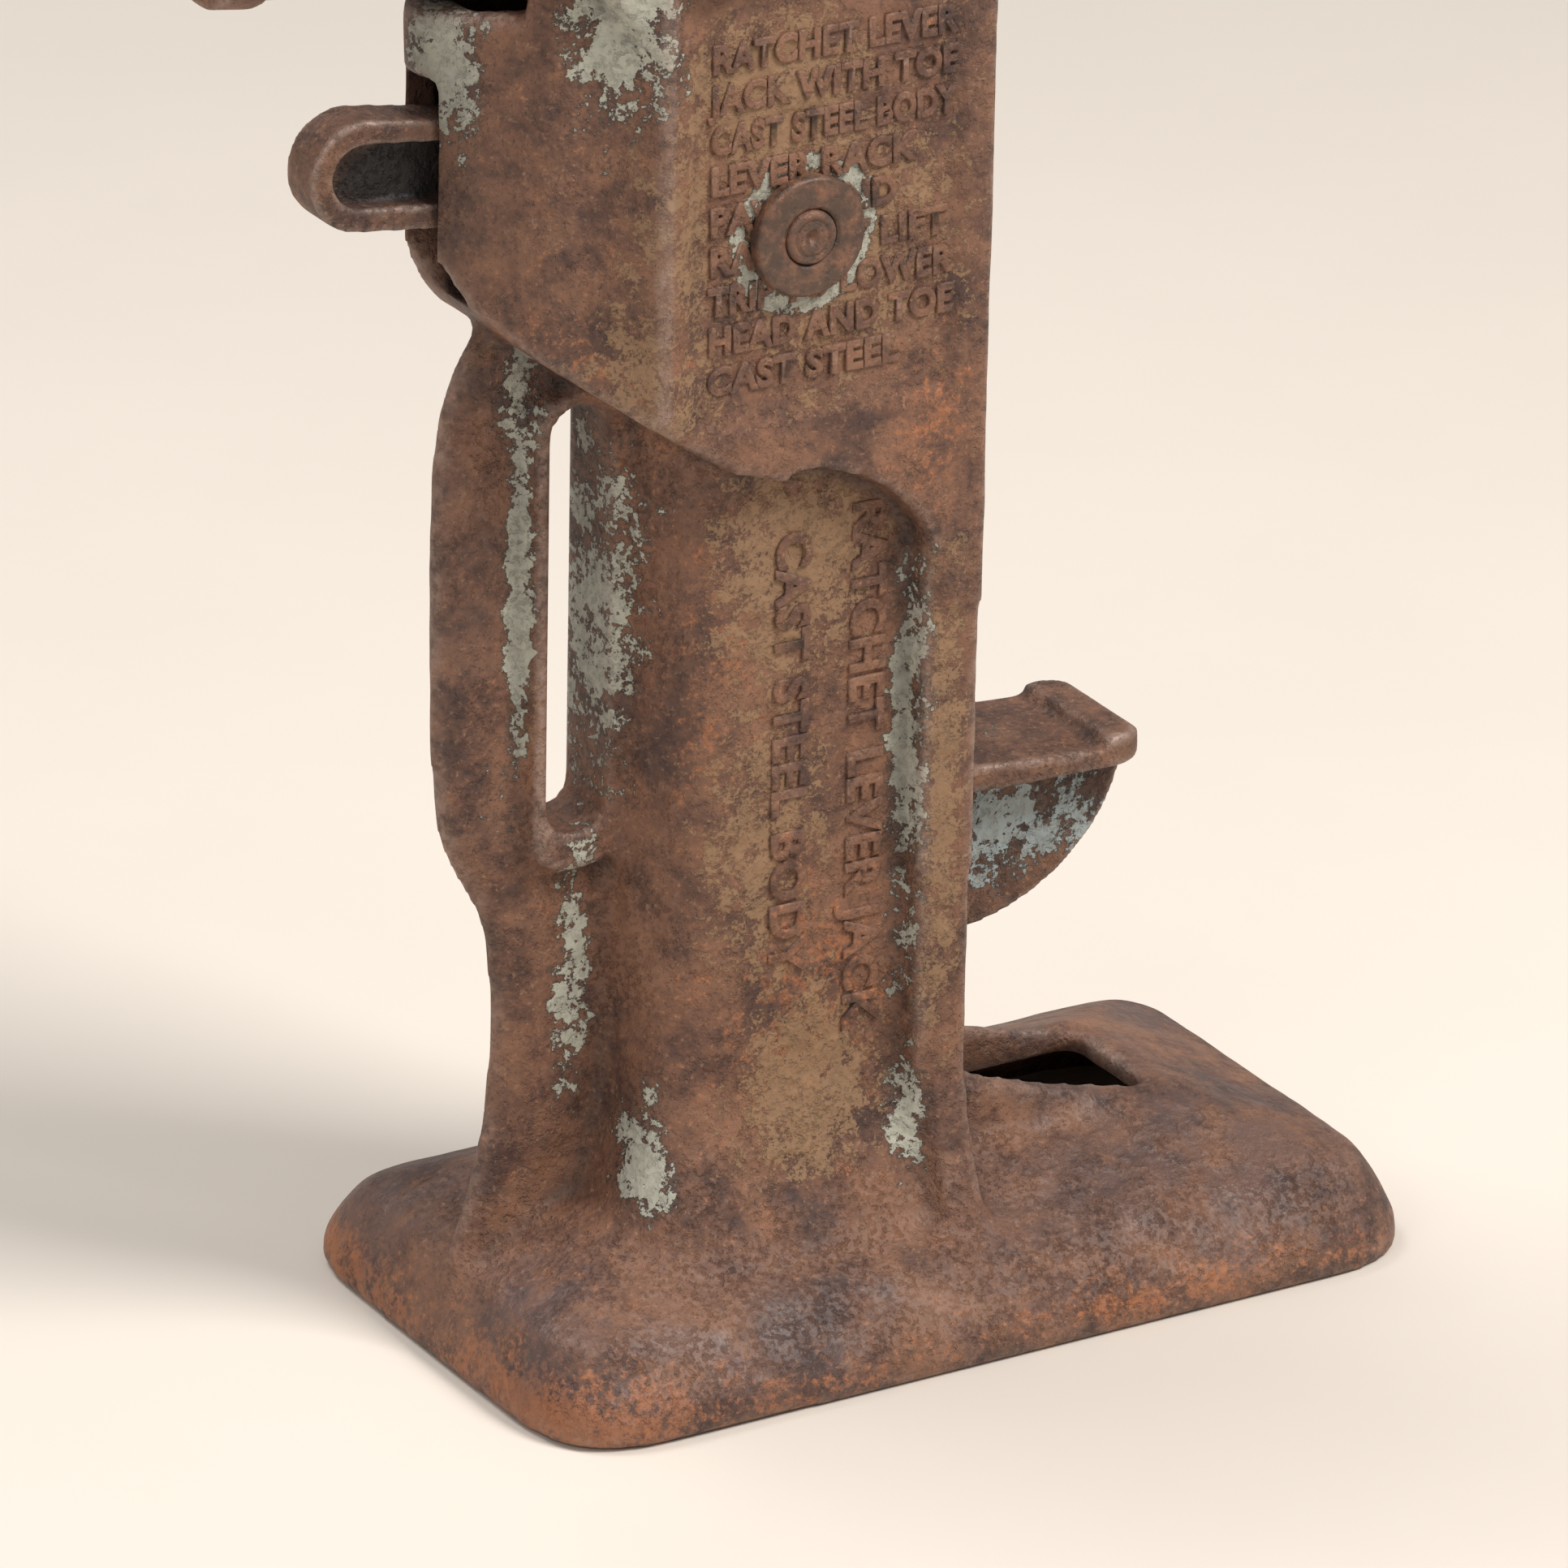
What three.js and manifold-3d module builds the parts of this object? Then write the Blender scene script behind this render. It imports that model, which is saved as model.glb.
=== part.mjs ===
// Cast ratchet lever jack with a toe lift.
// Millimetres, +Z up. The drawing frame has its origin on the ground under the centre of
// the foot, +X towards the toe and -X towards the carrying handle. The exported group is
// moved so that the origin lies under the centre of the whole jack.

import * as THREE from 'three';
import { ConvexGeometry } from 'three/addons/geometries/ConvexGeometry.js';
import { ParametricGeometry } from 'three/addons/geometries/ParametricGeometry.js';
import { mergeVertices } from 'three/addons/utils/BufferGeometryUtils.js';
import Module from 'manifold-3d';

const wasm = await Module();
wasm.setup();

// ---- driving dimensions ----

const FOOT = { length: 317, width: 183, corner: 36, edge: 8 };
const BROW = { inset: 10, sideInset: 19, z: 29, corner: 18 };
const RIDGE = { rear: -112, front: 98, halfWidth: 30, top: 48, corner: 7 };
const SADDLE = { reach: 87, height: 40, halfWidth: 26, power: 2.4 };
const FOOT_WALL = 8;
const TOE_WELL = { front: 91, halfWidth: 22 };

const COLUMN = { rear: -99, shoulder: -86, front: 8, halfWidth: 38, rearHalfWidth: 17 };
const FLANGE = { rear: -12, halfWidth: 48, foot: 34, footHeight: 96 };
const COVE = { height: 112, side: 50, rear: 44, power: 2.2 };
const CORE = { rear: -88, front: -46, halfWidth: 26, top: 300 };

const BOX = { halfWidth: 50, rear: -107, bottom: 296, top: 545 };
const BULGE = { nose: -168, noseHalfWidth: 11, lip: 469 };
const MECHANISM = { front: -36, rear: -152, halfWidth: 31, floor: 336, noseHalfWidth: 13 };
const CHEEK = { radius: 42, innerHalfWidth: 27.5 };
const TRIP_SLOT = { halfWidth: 10, bottom: 350, top: 424 };
const PANEL = { rear: -98, front: -3, bottom: 312, top: 450, depth: 2.2, corner: 10, topCorner: 24 };

const HANDLE = { outer: -148.5, lowerOuter: -129, railThick: 12, railHalfWidth: 15.5 };
const HANDLE_HOLE = { rear: -123.5, front: -103.5, bottom: 173, top: 313 };
const HANDLE_RIM = { width: 5.5, lowerWidth: 13, halfWidth: 13.5 };
const HANDLE_WEB = 6;

const PITCH = 12.7;
const RACK = { rear: -30, tip: -36, front: 2, halfWidth: 21, neckHalfWidth: 16.8 };
const RACK_RAISED = 6 * PITCH;
const RACK_LOWEST = 37.4;
const RACK_LENGTH = 536.4;
const TOOTH = { datum: 411, rise: 5, land: 1.5, gap: 1 };
const CHANNEL_GAP = 0.5;
const TOE = { root: 9.5, tip: 86, halfWidth: 26, top: 173, fall: 5, thick: 10, webHalfWidth: 13 };
const TOE_LIP = { rear: 72, rise: 4 };

const FULCRUM = { x: -90, z: 470, pin: 11, hub: 21, collar: 17.5 };
const PAWL_PIVOT = { x: -58, z: 371, pin: 8.6, collar: 19, hub: 14 };
const LIFT_PIVOT = { x: -58, z: 470, pin: 6, hub: 10 };
const TRIP_PIVOT = { x: -110, z: 385, pin: 6 };
const PAWL_RELEASE = 16;
const RUNNING_GAP = 0.35;

const SOCKET = { rear: -235.32, front: -118, radius: 24.5, band: 27, bore: 16.5, boreDepth: 96, z: 464 };
const LEVER_TILT = 8;
const TRIP = {
  endX: -186.5, endZ: 398, endRadius: 17.5, rootX: -150, rootZ: 393, halfDepth: 17, halfWidth: 8.5,
};
const TRIP_POCKET = { rim: 7.5, depth: 6.4, reach: 5 };
const SOCKET_SCREW = { x: -206, radius: 5, head: 9, sides: 6 };
const CAP = { halfLength: 31, halfWidth: 29, height: 24, corner: 9 };
const CAP_GROOVE = { pitch: 12, halfWidth: 1.5, depth: 1.6 };
const CAP_GAP = 0.4;
const SPIGOT = { radius: 11, height: 15 };
const HEAD_PIN = { radius: 2.9, bore: 3.3, rise: 5.4, halfLength: 26 };
const STOP_SCREW = { x: -19, z: 527, radius: 5, head: 9.5, inner: 22.5, outer: 56 };
const SPRING = { wire: 1.1, gap: 0.5, turns: 3, legReach: 9, stepsPerTurn: 12 };
const PAWL_SPRING = { coil: 11, start: 16, legAngle: 1.1 };
const TRIP_SPRING = { coil: 8.5, start: 11, legAngle: 0.9 };
const PAWL_HALF_WIDTH = 12;
const PIN_HALF_LENGTH = { fulcrum: 55.5, pawl: 53.4, liftPawl: 24.5, trip: 39.4 };
const COLLAR = { thick: 4.8, chamferStart: 3, chamferEnd: 4.4, chamfer: 1.6, seat: 0.3 };

// A point of the lever, drawn with its socket level, once the lever is tilted about its pin.
function tilted(x, z, degrees = LEVER_TILT) {
  const angle = degrees * Math.PI / 180;
  const [dx, dz] = [x - FULCRUM.x, z - FULCRUM.z];
  return {
    x: FULCRUM.x + dx * Math.cos(angle) + dz * Math.sin(angle),
    z: FULCRUM.z - dx * Math.sin(angle) + dz * Math.cos(angle),
  };
}

const REARMOST = tilted(SOCKET.rear, SOCKET.z - SOCKET.band).x;
const OBJECT_CENTRE_X = (REARMOST + FOOT.length / 2) / 2;
const HIGH = 620;

// ---- finishes ----

const rust = (color, roughness) => new THREE.MeshStandardMaterial({ color, roughness, metalness: 0.35 });
const CASTING = rust(0x6a4434, 0.8);
const STEEL = rust(0x4b3a35, 0.6);
const BRIGHT = rust(0x6d6560, 0.45);

// ---- solids ----

function solid(geometry) {
  geometry.deleteAttribute('normal');
  geometry.deleteAttribute('uv');
  const merged = mergeVertices(geometry, 1e-4);
  const index = merged.index.array;
  const kept = [];
  for (let i = 0; i < index.length; i += 3) {
    const [a, b, c] = [index[i], index[i + 1], index[i + 2]];
    if (a !== b && b !== c && c !== a) kept.push(a, b, c);
  }
  const vertProperties = new Float32Array(merged.attributes.position.array);
  return new wasm.Manifold(new wasm.Mesh({ numProp: 3, vertProperties, triVerts: new Uint32Array(kept) }));
}

const join = (...parts) => parts.reduce((all, part) => all.add(part));
const cut = (body, ...tools) => tools.reduce((left, tool) => left.subtract(tool), body);

function box(x0, x1, y0, y1, z0, z1) {
  const geometry = new THREE.BoxGeometry(x1 - x0, y1 - y0, z1 - z0);
  return solid(geometry.translate((x0 + x1) / 2, (y0 + y1) / 2, (z0 + z1) / 2));
}

// An (x, z) outline made into a slab from y0 to y1.
function slabY(outline, y0, y1, curveSegments = 5) {
  const geometry = new THREE.ExtrudeGeometry(outline, { depth: y1 - y0, bevelEnabled: false, curveSegments });
  return solid(geometry.rotateX(Math.PI / 2).translate(0, y1, 0));
}

// An (x, y) outline made into a column from z0 to z1.
function slabZ(outline, z0, z1, curveSegments = 5) {
  const geometry = new THREE.ExtrudeGeometry(outline, { depth: z1 - z0, bevelEnabled: false, curveSegments });
  return solid(geometry.translate(0, 0, z0));
}

// A (y, z) outline made into a slab from x0 to x1.
function slabX(outline, x0, x1, curveSegments = 5) {
  const geometry = new THREE.ExtrudeGeometry(outline, { depth: x1 - x0, bevelEnabled: false, curveSegments });
  const turn = new THREE.Matrix4().makeBasis(
    new THREE.Vector3(0, 1, 0), new THREE.Vector3(0, 0, 1), new THREE.Vector3(1, 0, 0));
  return solid(geometry.applyMatrix4(turn).translate(x0, 0, 0));
}

// A round bar along Y.
function barY(x, z, radius, y0, y1, sides = 24) {
  return solid(new THREE.CylinderGeometry(radius, radius, y1 - y0, sides).translate(x, (y0 + y1) / 2, z));
}

// A round bar along X.
function barX(z, radius, x0, x1, sides = 28) {
  const geometry = new THREE.CylinderGeometry(radius, radius, x1 - x0, sides).rotateZ(Math.PI / 2);
  return solid(geometry.translate((x0 + x1) / 2, 0, z));
}

// A closed outline whose corners are rounded with the given radius.
function rounded(points, radius) {
  const outline = new THREE.Shape();
  const count = points.length;
  points.forEach((point, i) => {
    const here = new THREE.Vector2(...point);
    const before = new THREE.Vector2(...points[(i + count - 1) % count]);
    const after = new THREE.Vector2(...points[(i + 1) % count]);
    const room = 0.48 * Math.min(here.distanceTo(before), here.distanceTo(after));
    const r = Math.min(point[2] ?? radius, room);
    const start = here.clone().add(before.sub(here).setLength(r));
    const end = here.clone().add(after.sub(here).setLength(r));
    if (i === 0) outline.moveTo(start.x, start.y);
    else outline.lineTo(start.x, start.y);
    outline.quadraticCurveTo(here.x, here.y, end.x, end.y);
  });
  outline.closePath();
  return outline;
}

const rectangle = (a0, a1, b0, b1, radius) => rounded([[a0, b0], [a1, b0], [a1, b1], [a0, b1]], radius);
const mirrored = part => part.mirror([0, 1, 0]);
const bothSides = part => part.add(mirrored(part));

// The smallest convex body around several flat outlines, each at its own height.
function hippedHull(levels) {
  const points = [];
  for (const { outline, z } of levels) {
    for (const p of outline.getPoints(4)) points.push(new THREE.Vector3(p.x, p.y, z));
  }
  return solid(new ConvexGeometry(points));
}

// ---- the casting ----

function footOuter() {
  const [x, y] = [FOOT.length / 2, FOOT.width / 2];
  const [browX, browY] = [x - BROW.inset, y - BROW.sideInset];
  const rim = rectangle(-x, x, -y, y, FOOT.corner);
  return hippedHull([
    { outline: rim, z: 0 },
    { outline: rim, z: FOOT.edge },
    { outline: rectangle(3.5 - x, x - 3.5, 6 - y, y - 6, FOOT.corner - 4), z: FOOT.edge + 9 },
    { outline: rectangle(-browX, browX, -browY, browY, BROW.corner), z: BROW.z },
    { outline: rectangle(RIDGE.rear, RIDGE.front, -RIDGE.halfWidth, RIDGE.halfWidth, RIDGE.corner), z: RIDGE.top },
  ]);
}

function footHollow() {
  const [x, y] = [FOOT.length / 2 - FOOT_WALL, FOOT.width / 2 - FOOT_WALL];
  const [browX, browY] = [x - BROW.inset, y - BROW.sideInset];
  const half = RIDGE.halfWidth - 3;
  return hippedHull([
    { outline: rectangle(-x, x, -y, y, FOOT.corner - 6), z: -1 },
    { outline: rectangle(-x, x, -y, y, FOOT.corner - 6), z: FOOT.edge - 4 },
    { outline: rectangle(-browX, browX, -browY, browY, 8), z: BROW.z - FOOT_WALL },
    { outline: rectangle(RIDGE.rear + 6, RIDGE.front - 4, -half, half, 5), z: RIDGE.top - FOOT_WALL },
  ]);
}

// A closed tower of rounded sections, one for each height: extent(z) gives its rear, front
// and half width.
function tower(low, high, rings, extent) {
  const squareness = 0.36;
  const side = v => Math.sign(v) * Math.pow(Math.abs(v), squareness);
  const wrap = (turn, level, target) => {
    const step = Math.round(level * (rings + 2));
    const z = low + (high - low) * Math.min(1, Math.max(0, (step - 1) / rings));
    const [rear, front, half] = extent(z);
    const reach = (step === 0 || step === rings + 2) ? 0 : 1;
    const angle = (turn % 1) * 2 * Math.PI;
    const [middle, span] = [(rear + front) / 2, (front - rear) / 2];
    target.set(middle + reach * span * side(Math.cos(angle)), reach * half * side(Math.sin(angle)), z);
  };
  return solid(new ParametricGeometry(wrap, 44, rings + 2));
}

// The cove that sweeps the column out into the foot, to both sides and to the rear.
function columnCove() {
  const spread = z => Math.pow(Math.max(0, (COVE.height - z) / COVE.height), COVE.power);
  const extent = z => [
    COLUMN.rear + 2 - COVE.rear * spread(z), COLUMN.front, COLUMN.halfWidth - 1.5 + COVE.side * spread(z)];
  return tower(14, COVE.height + 18, 12, extent);
}

// The saddle in front of the column, which falls from the slot's foot to the well's end.
function frontSaddle() {
  const { reach, height, halfWidth, power } = SADDLE;
  const fall = z => Math.min(1, Math.max(0, (RIDGE.top + height - z) / height));
  const extent = z => [-30, COLUMN.front + reach * Math.pow(fall(z), power), halfWidth + 5 * fall(z)];
  return tower(30, RIDGE.top + height, 10, extent);
}

function columnShaft() {
  const { rear, shoulder, front, halfWidth, rearHalfWidth } = COLUMN;
  const plan = rounded([
    [front, -halfWidth, 2], [front, halfWidth, 2], [shoulder, halfWidth, 14],
    [rear, rearHalfWidth, 6], [rear, -rearHalfWidth, 6], [shoulder, -halfWidth, 14],
  ], 6);
  return slabZ(plan, 20, BOX.bottom + 50);
}

function frontFlange() {
  const { rear, halfWidth, foot, footHeight } = FLANGE;
  const strip = slabX(rectangle(-halfWidth, halfWidth, 20, BOX.top, 1.5), rear, COLUMN.front);
  const skirt = new THREE.Shape();
  skirt.moveTo(-halfWidth, footHeight);
  skirt.quadraticCurveTo(-halfWidth - 3, 40, -halfWidth - foot, 12);
  skirt.lineTo(halfWidth + foot, 12);
  skirt.quadraticCurveTo(halfWidth + 3, 40, halfWidth, footHeight);
  skirt.closePath();
  return join(strip, slabX(skirt, rear + 6, COLUMN.front, 8));
}

// The box that holds the mechanism: straight sides, an arched lower edge and round cheeks.
function mechanismBox() {
  const sideView = new THREE.Shape();
  const { front } = COLUMN;
  sideView.moveTo(front, 240);
  sideView.lineTo(front, BOX.top);
  sideView.lineTo(-40, BOX.top);
  sideView.quadraticCurveTo(-56, BOX.top - 4, FULCRUM.x + 12, FULCRUM.z + CHEEK.radius);
  sideView.absarc(FULCRUM.x, FULCRUM.z, CHEEK.radius, Math.PI * 0.42, Math.PI * 1.06, false);
  sideView.quadraticCurveTo(-117, 445, BOX.rear, 428);
  sideView.lineTo(BOX.rear, 318);
  sideView.quadraticCurveTo(-92, 304, -78, BOX.bottom);
  sideView.quadraticCurveTo(-50, 297, -30, 285);
  sideView.quadraticCurveTo(-8, 270, FLANGE.rear + 8, 240);
  sideView.closePath();
  return slabY(sideView, -BOX.halfWidth, BOX.halfWidth, 7);
}

function rearBulge() {
  const { nose, noseHalfWidth, lip } = BULGE;
  const half = BOX.halfWidth;
  const plan = new THREE.Shape();
  plan.moveTo(-60, -half);
  plan.lineTo(-60, half);
  plan.lineTo(BOX.rear, half);
  plan.bezierCurveTo(-120, half - 4, -148, noseHalfWidth + 17, nose + 6, noseHalfWidth);
  plan.quadraticCurveTo(nose - 4, 0, nose + 6, -noseHalfWidth);
  plan.bezierCurveTo(-148, -noseHalfWidth - 17, -120, 4 - half, BOX.rear, -half);
  plan.closePath();
  const sideView = rounded([
    [-60, 290, 4], [-60, lip, 4], [nose - 3, lip, 6], [nose - 3, 378, 20], [-146, 343, 14], [-84, 299, 8],
  ], 6);
  return slabZ(plan, 280, 560, 9).intersect(slabY(sideView, -60, 60));
}

function mechanismSpace() {
  const { front, rear, halfWidth, floor, noseHalfWidth } = MECHANISM;
  const plan = rounded([
    [front, -halfWidth], [front, halfWidth], [-106, halfWidth], [rear, noseHalfWidth],
    [rear, -noseHalfWidth], [-106, -halfWidth],
  ], 5);
  const sideView = rounded([
    [front, floor], [front, 520], [rear, 520], [rear, 376], [-138, 352], [-112, floor],
  ], 4);
  const inside = slabZ(plan, floor - 5, HIGH).intersect(slabY(sideView, -60, 60));
  const mouth = rounded([[-30, 447], [-30, HIGH], [-190, HIGH], [-190, 447]], 3);
  return join(inside, slabY(mouth, -CHEEK.innerHalfWidth, CHEEK.innerHalfWidth));
}

function carryingHandle() {
  const { outer, lowerOuter, railThick, railHalfWidth } = HANDLE;
  const centre = railThick / 2;
  const path = new THREE.CatmullRomCurve3([
    [lowerOuter - 17 + centre, 18], [lowerOuter - 6 + centre, 52], [lowerOuter + centre, 84],
    [lowerOuter + centre, 132], [lowerOuter - 5 + centre, 154], [outer + 3 + centre, 176],
    [outer + centre, 200], [outer + centre, 300], [outer + 4 + centre, 318],
    [outer + 15 + centre, 336], [outer + 32 + centre, 354],
  ].map(([x, z]) => new THREE.Vector3(x, 0, z)));
  const section = new THREE.Shape();
  section.absellipse(0, 0, centre, railHalfWidth, 0, 2 * Math.PI);
  const rail = new THREE.ExtrudeGeometry(
    section, { steps: 34, bevelEnabled: false, extrudePath: path, curveSegments: 7 });
  const webView = rounded([
    [-90, 30], [-90, 345], [outer + 18, 345], [outer + 6, 306], [outer + 6, 186], [lowerOuter + 6, 150],
    [lowerOuter + 4, 30],
  ], 10);
  const { rear, front, bottom, top } = HANDLE_HOLE;
  const rim = rectangle(
    rear - HANDLE_RIM.width, front + 6, bottom - HANDLE_RIM.lowerWidth, top + HANDLE_RIM.width, 16);
  const hole = rectangle(rear, front, bottom, top, 12);
  const body = join(
    solid(rail), slabY(webView, -HANDLE_WEB, HANDLE_WEB),
    slabY(rim, -HANDLE_RIM.halfWidth, HANDLE_RIM.halfWidth));
  return cut(body, slabY(hole, -40, 40));
}

function makeHousing() {
  const body = join(
    footOuter(), columnCove(), frontSaddle(), columnShaft(), frontFlange(),
    mechanismBox(), rearBulge(), carryingHandle());
  const channelHalf = RACK.halfWidth + CHANNEL_GAP;
  const slotHalf = RACK.neckHalfWidth + 0.6;
  const channel = box(RACK.tip - 2, RACK.front + CHANNEL_GAP, -channelHalf, channelHalf, -1, HIGH);
  const slot = box(RACK.front - 1, COLUMN.front + 1, -slotHalf, slotHalf, -1, HIGH);
  const well = slabZ(
    rectangle(COLUMN.front, TOE_WELL.front, -TOE_WELL.halfWidth, TOE_WELL.halfWidth, 3), 20, 110);
  const core = box(CORE.rear, CORE.front, -CORE.halfWidth, CORE.halfWidth, -1, CORE.top);
  const tripSlot = box(-180, -130, -TRIP_SLOT.halfWidth, TRIP_SLOT.halfWidth, TRIP_SLOT.bottom, TRIP_SLOT.top);
  const { rear, front, bottom, top, depth, corner, topCorner } = PANEL;
  const panelView = rounded([[rear, bottom], [front, bottom], [front, top], [rear, top, topCorner]], corner);
  const panel = slabY(panelView, BOX.halfWidth - depth, BOX.halfWidth + 4);
  const bores = [
    barY(FULCRUM.x, FULCRUM.z, FULCRUM.pin + RUNNING_GAP, -70, 70),
    barY(PAWL_PIVOT.x, PAWL_PIVOT.z, PAWL_PIVOT.pin + RUNNING_GAP, -70, 70),
    barY(TRIP_PIVOT.x, TRIP_PIVOT.z, TRIP_PIVOT.pin + RUNNING_GAP, -40, 40),
    stopScrewBore(),
  ];
  return cut(
    body, footHollow(), channel, slot, well, core, mechanismSpace(), tripSlot, bothSides(panel), ...bores);
}

// ---- rack and toe ----

function rackOutline(bottom, top) {
  const outline = new THREE.Shape();
  outline.moveTo(RACK.front, bottom);
  outline.lineTo(RACK.front, top);
  outline.lineTo(RACK.rear, top);
  const first = TOOTH.datum - PITCH * Math.floor((TOOTH.datum - bottom - 16) / PITCH);
  const last = first + PITCH * Math.floor((top - 26 - first) / PITCH);
  for (let root = last - PITCH; root > first - 1; root -= PITCH) {
    outline.lineTo(RACK.rear, root + PITCH - TOOTH.gap);
    outline.lineTo(RACK.tip, root + TOOTH.rise + TOOTH.land);
    outline.lineTo(RACK.tip, root + TOOTH.rise);
    outline.lineTo(RACK.rear, root);
  }
  outline.lineTo(RACK.rear, bottom);
  outline.closePath();
  return outline;
}

function makeRack() {
  const bottom = RACK_LOWEST + RACK_RAISED;
  const bar = slabY(rackOutline(bottom, bottom + RACK_LENGTH), -RACK.halfWidth, RACK.halfWidth);
  const { root, tip, halfWidth, top, fall, thick, webHalfWidth } = TOE;
  const low = top - fall;
  const webView = new THREE.Shape();
  webView.moveTo(RACK.front - 4, top - 2);
  webView.lineTo(tip - 2, low - 3);
  webView.lineTo(tip - 2, 156);
  webView.quadraticCurveTo(80, 140, 66, 127);
  webView.quadraticCurveTo(50, 114, 30, 111);
  webView.lineTo(RACK.front - 4, 110);
  webView.closePath();
  const padView = rounded([
    [root, top, 1], [root, top - thick, 2], [tip - 8, low - thick + 3, 3], [tip, low - thick + 4, 3],
    [tip, low + TOE_LIP.rise, 4], [TOE_LIP.rear, low + TOE_LIP.rise, 2], [TOE_LIP.rear - 2, low, 1],
  ], 2);
  const neck = box(RACK.front - 4, root + 2, -RACK.neckHalfWidth, RACK.neckHalfWidth, 112, top);
  const padPlan = rounded([
    [0, -halfWidth, 2], [0, halfWidth, 2], [tip - 6, halfWidth, 5], [tip + 6, halfWidth - 12, 8],
    [tip + 6, 12 - halfWidth, 8], [tip - 6, -halfWidth, 5],
  ], 4);
  const pad = slabY(padView, -halfWidth, halfWidth).intersect(slabZ(padPlan, 100, 200));
  return join(bar, neck, slabY(webView, -webHalfWidth, webHalfWidth), pad);
}

const HEAD_Z = RACK_LOWEST + RACK_RAISED + RACK_LENGTH;
const HEAD_X = (RACK.rear + RACK.front) / 2;
const headPinBore = () => barY(HEAD_X, HEAD_Z + HEAD_PIN.rise, HEAD_PIN.bore, -50, 50, 12);

function makeRackWithSpigot() {
  const { radius, height } = SPIGOT;
  const spigot = new THREE.CylinderGeometry(radius, radius, height + 2, 20).rotateX(Math.PI / 2);
  const body = makeRack().add(solid(spigot.translate(HEAD_X, 0, HEAD_Z + height / 2 - 1)));
  return body.subtract(headPinBore());
}

function makeHeadCap() {
  const z0 = HEAD_Z + CAP_GAP;
  const { halfLength, halfWidth, height, corner } = CAP;
  const outline = grow => rectangle(
    -halfLength - grow, halfLength + grow, -halfWidth - grow, halfWidth + grow, corner);
  const body = hippedHull([
    { outline: outline(-4), z: z0 }, { outline: outline(0), z: z0 + 6 },
    { outline: outline(0), z: z0 + height - 3 }, { outline: outline(-3), z: z0 + height },
  ]).translate([HEAD_X, 0, 0]);
  const bore = SPIGOT.radius + CAP_GAP;
  const socket = new THREE.CylinderGeometry(bore, bore, SPIGOT.height + 2, 20).rotateX(Math.PI / 2);
  const { pitch, halfWidth: half, depth } = CAP_GROOVE;
  const top = z0 + height;
  const grooves = [-pitch, 0, pitch].map(
    y => box(HEAD_X - 50, HEAD_X + 50, y - half, y + half, top - depth, top + depth));
  return cut(body, solid(socket.translate(HEAD_X, 0, z0 + SPIGOT.height / 2)), ...grooves, headPinBore());
}

// ---- lever, pawls and trip ----

const turnAboutFulcrum = part => part
  .translate([-FULCRUM.x, 0, -FULCRUM.z]).rotate([0, LEVER_TILT, 0]).translate([FULCRUM.x, 0, FULCRUM.z]);

function leverSocket() {
  const { rear, front, radius, band, bore, boreDepth, z } = SOCKET;
  const lift = { ...LIFT_PIVOT, ...tilted(LIFT_PIVOT.x, LIFT_PIVOT.z, -LEVER_TILT) };
  const web = rounded([
    [front - 22, z - 20, 6], [FULCRUM.x, FULCRUM.z - FULCRUM.hub, 4], [lift.x + 3, lift.z - 11, 8],
    [lift.x + 11, lift.z, 5], [lift.x + 3, lift.z + 11, 8],
    [FULCRUM.x, FULCRUM.z + FULCRUM.hub, 4], [front - 22, z + 20, 6],
  ], 5);
  const body = join(
    barX(z, radius, rear + 8, front), barX(z, band, rear, rear + 14),
    barY(FULCRUM.x, FULCRUM.z, FULCRUM.hub, -26, 26, 28), slabY(web, -24, 24, 6));
  const forkGap = box(FULCRUM.x, lift.x + 40, -13, 13, 430, 540)
    .subtract(barY(FULCRUM.x, FULCRUM.z, FULCRUM.pin + 4, -13, 13));
  return turnAboutFulcrum(cut(
    body, barX(z, bore, rear - 1, rear + boreDepth), forkGap,
    barY(FULCRUM.x, FULCRUM.z, FULCRUM.pin + RUNNING_GAP, -60, 60),
    barY(lift.x, lift.z, lift.pin + RUNNING_GAP, -60, 60, 18),
    barSocketScrewHole()));
}

function barSocketScrewHole() {
  const radius = SOCKET_SCREW.radius + 0.4;
  const hole = new THREE.CylinderGeometry(radius, radius, 30, 14).rotateX(Math.PI / 2);
  return solid(hole.translate(SOCKET_SCREW.x, 0, SOCKET.z + SOCKET.radius));
}

function makeSocketScrew() {
  const { x, radius, head: headRadius, sides } = SOCKET_SCREW;
  const shank = new THREE.CylinderGeometry(radius, radius, 15, 14).rotateX(Math.PI / 2);
  const head = new THREE.CylinderGeometry(headRadius, headRadius, 7, sides).rotateX(Math.PI / 2);
  const top = SOCKET.z + SOCKET.radius;
  return turnAboutFulcrum(join(solid(shank.translate(x, 0, top - 2)), solid(head.translate(x, 0, top + 4.2))));
}

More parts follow.
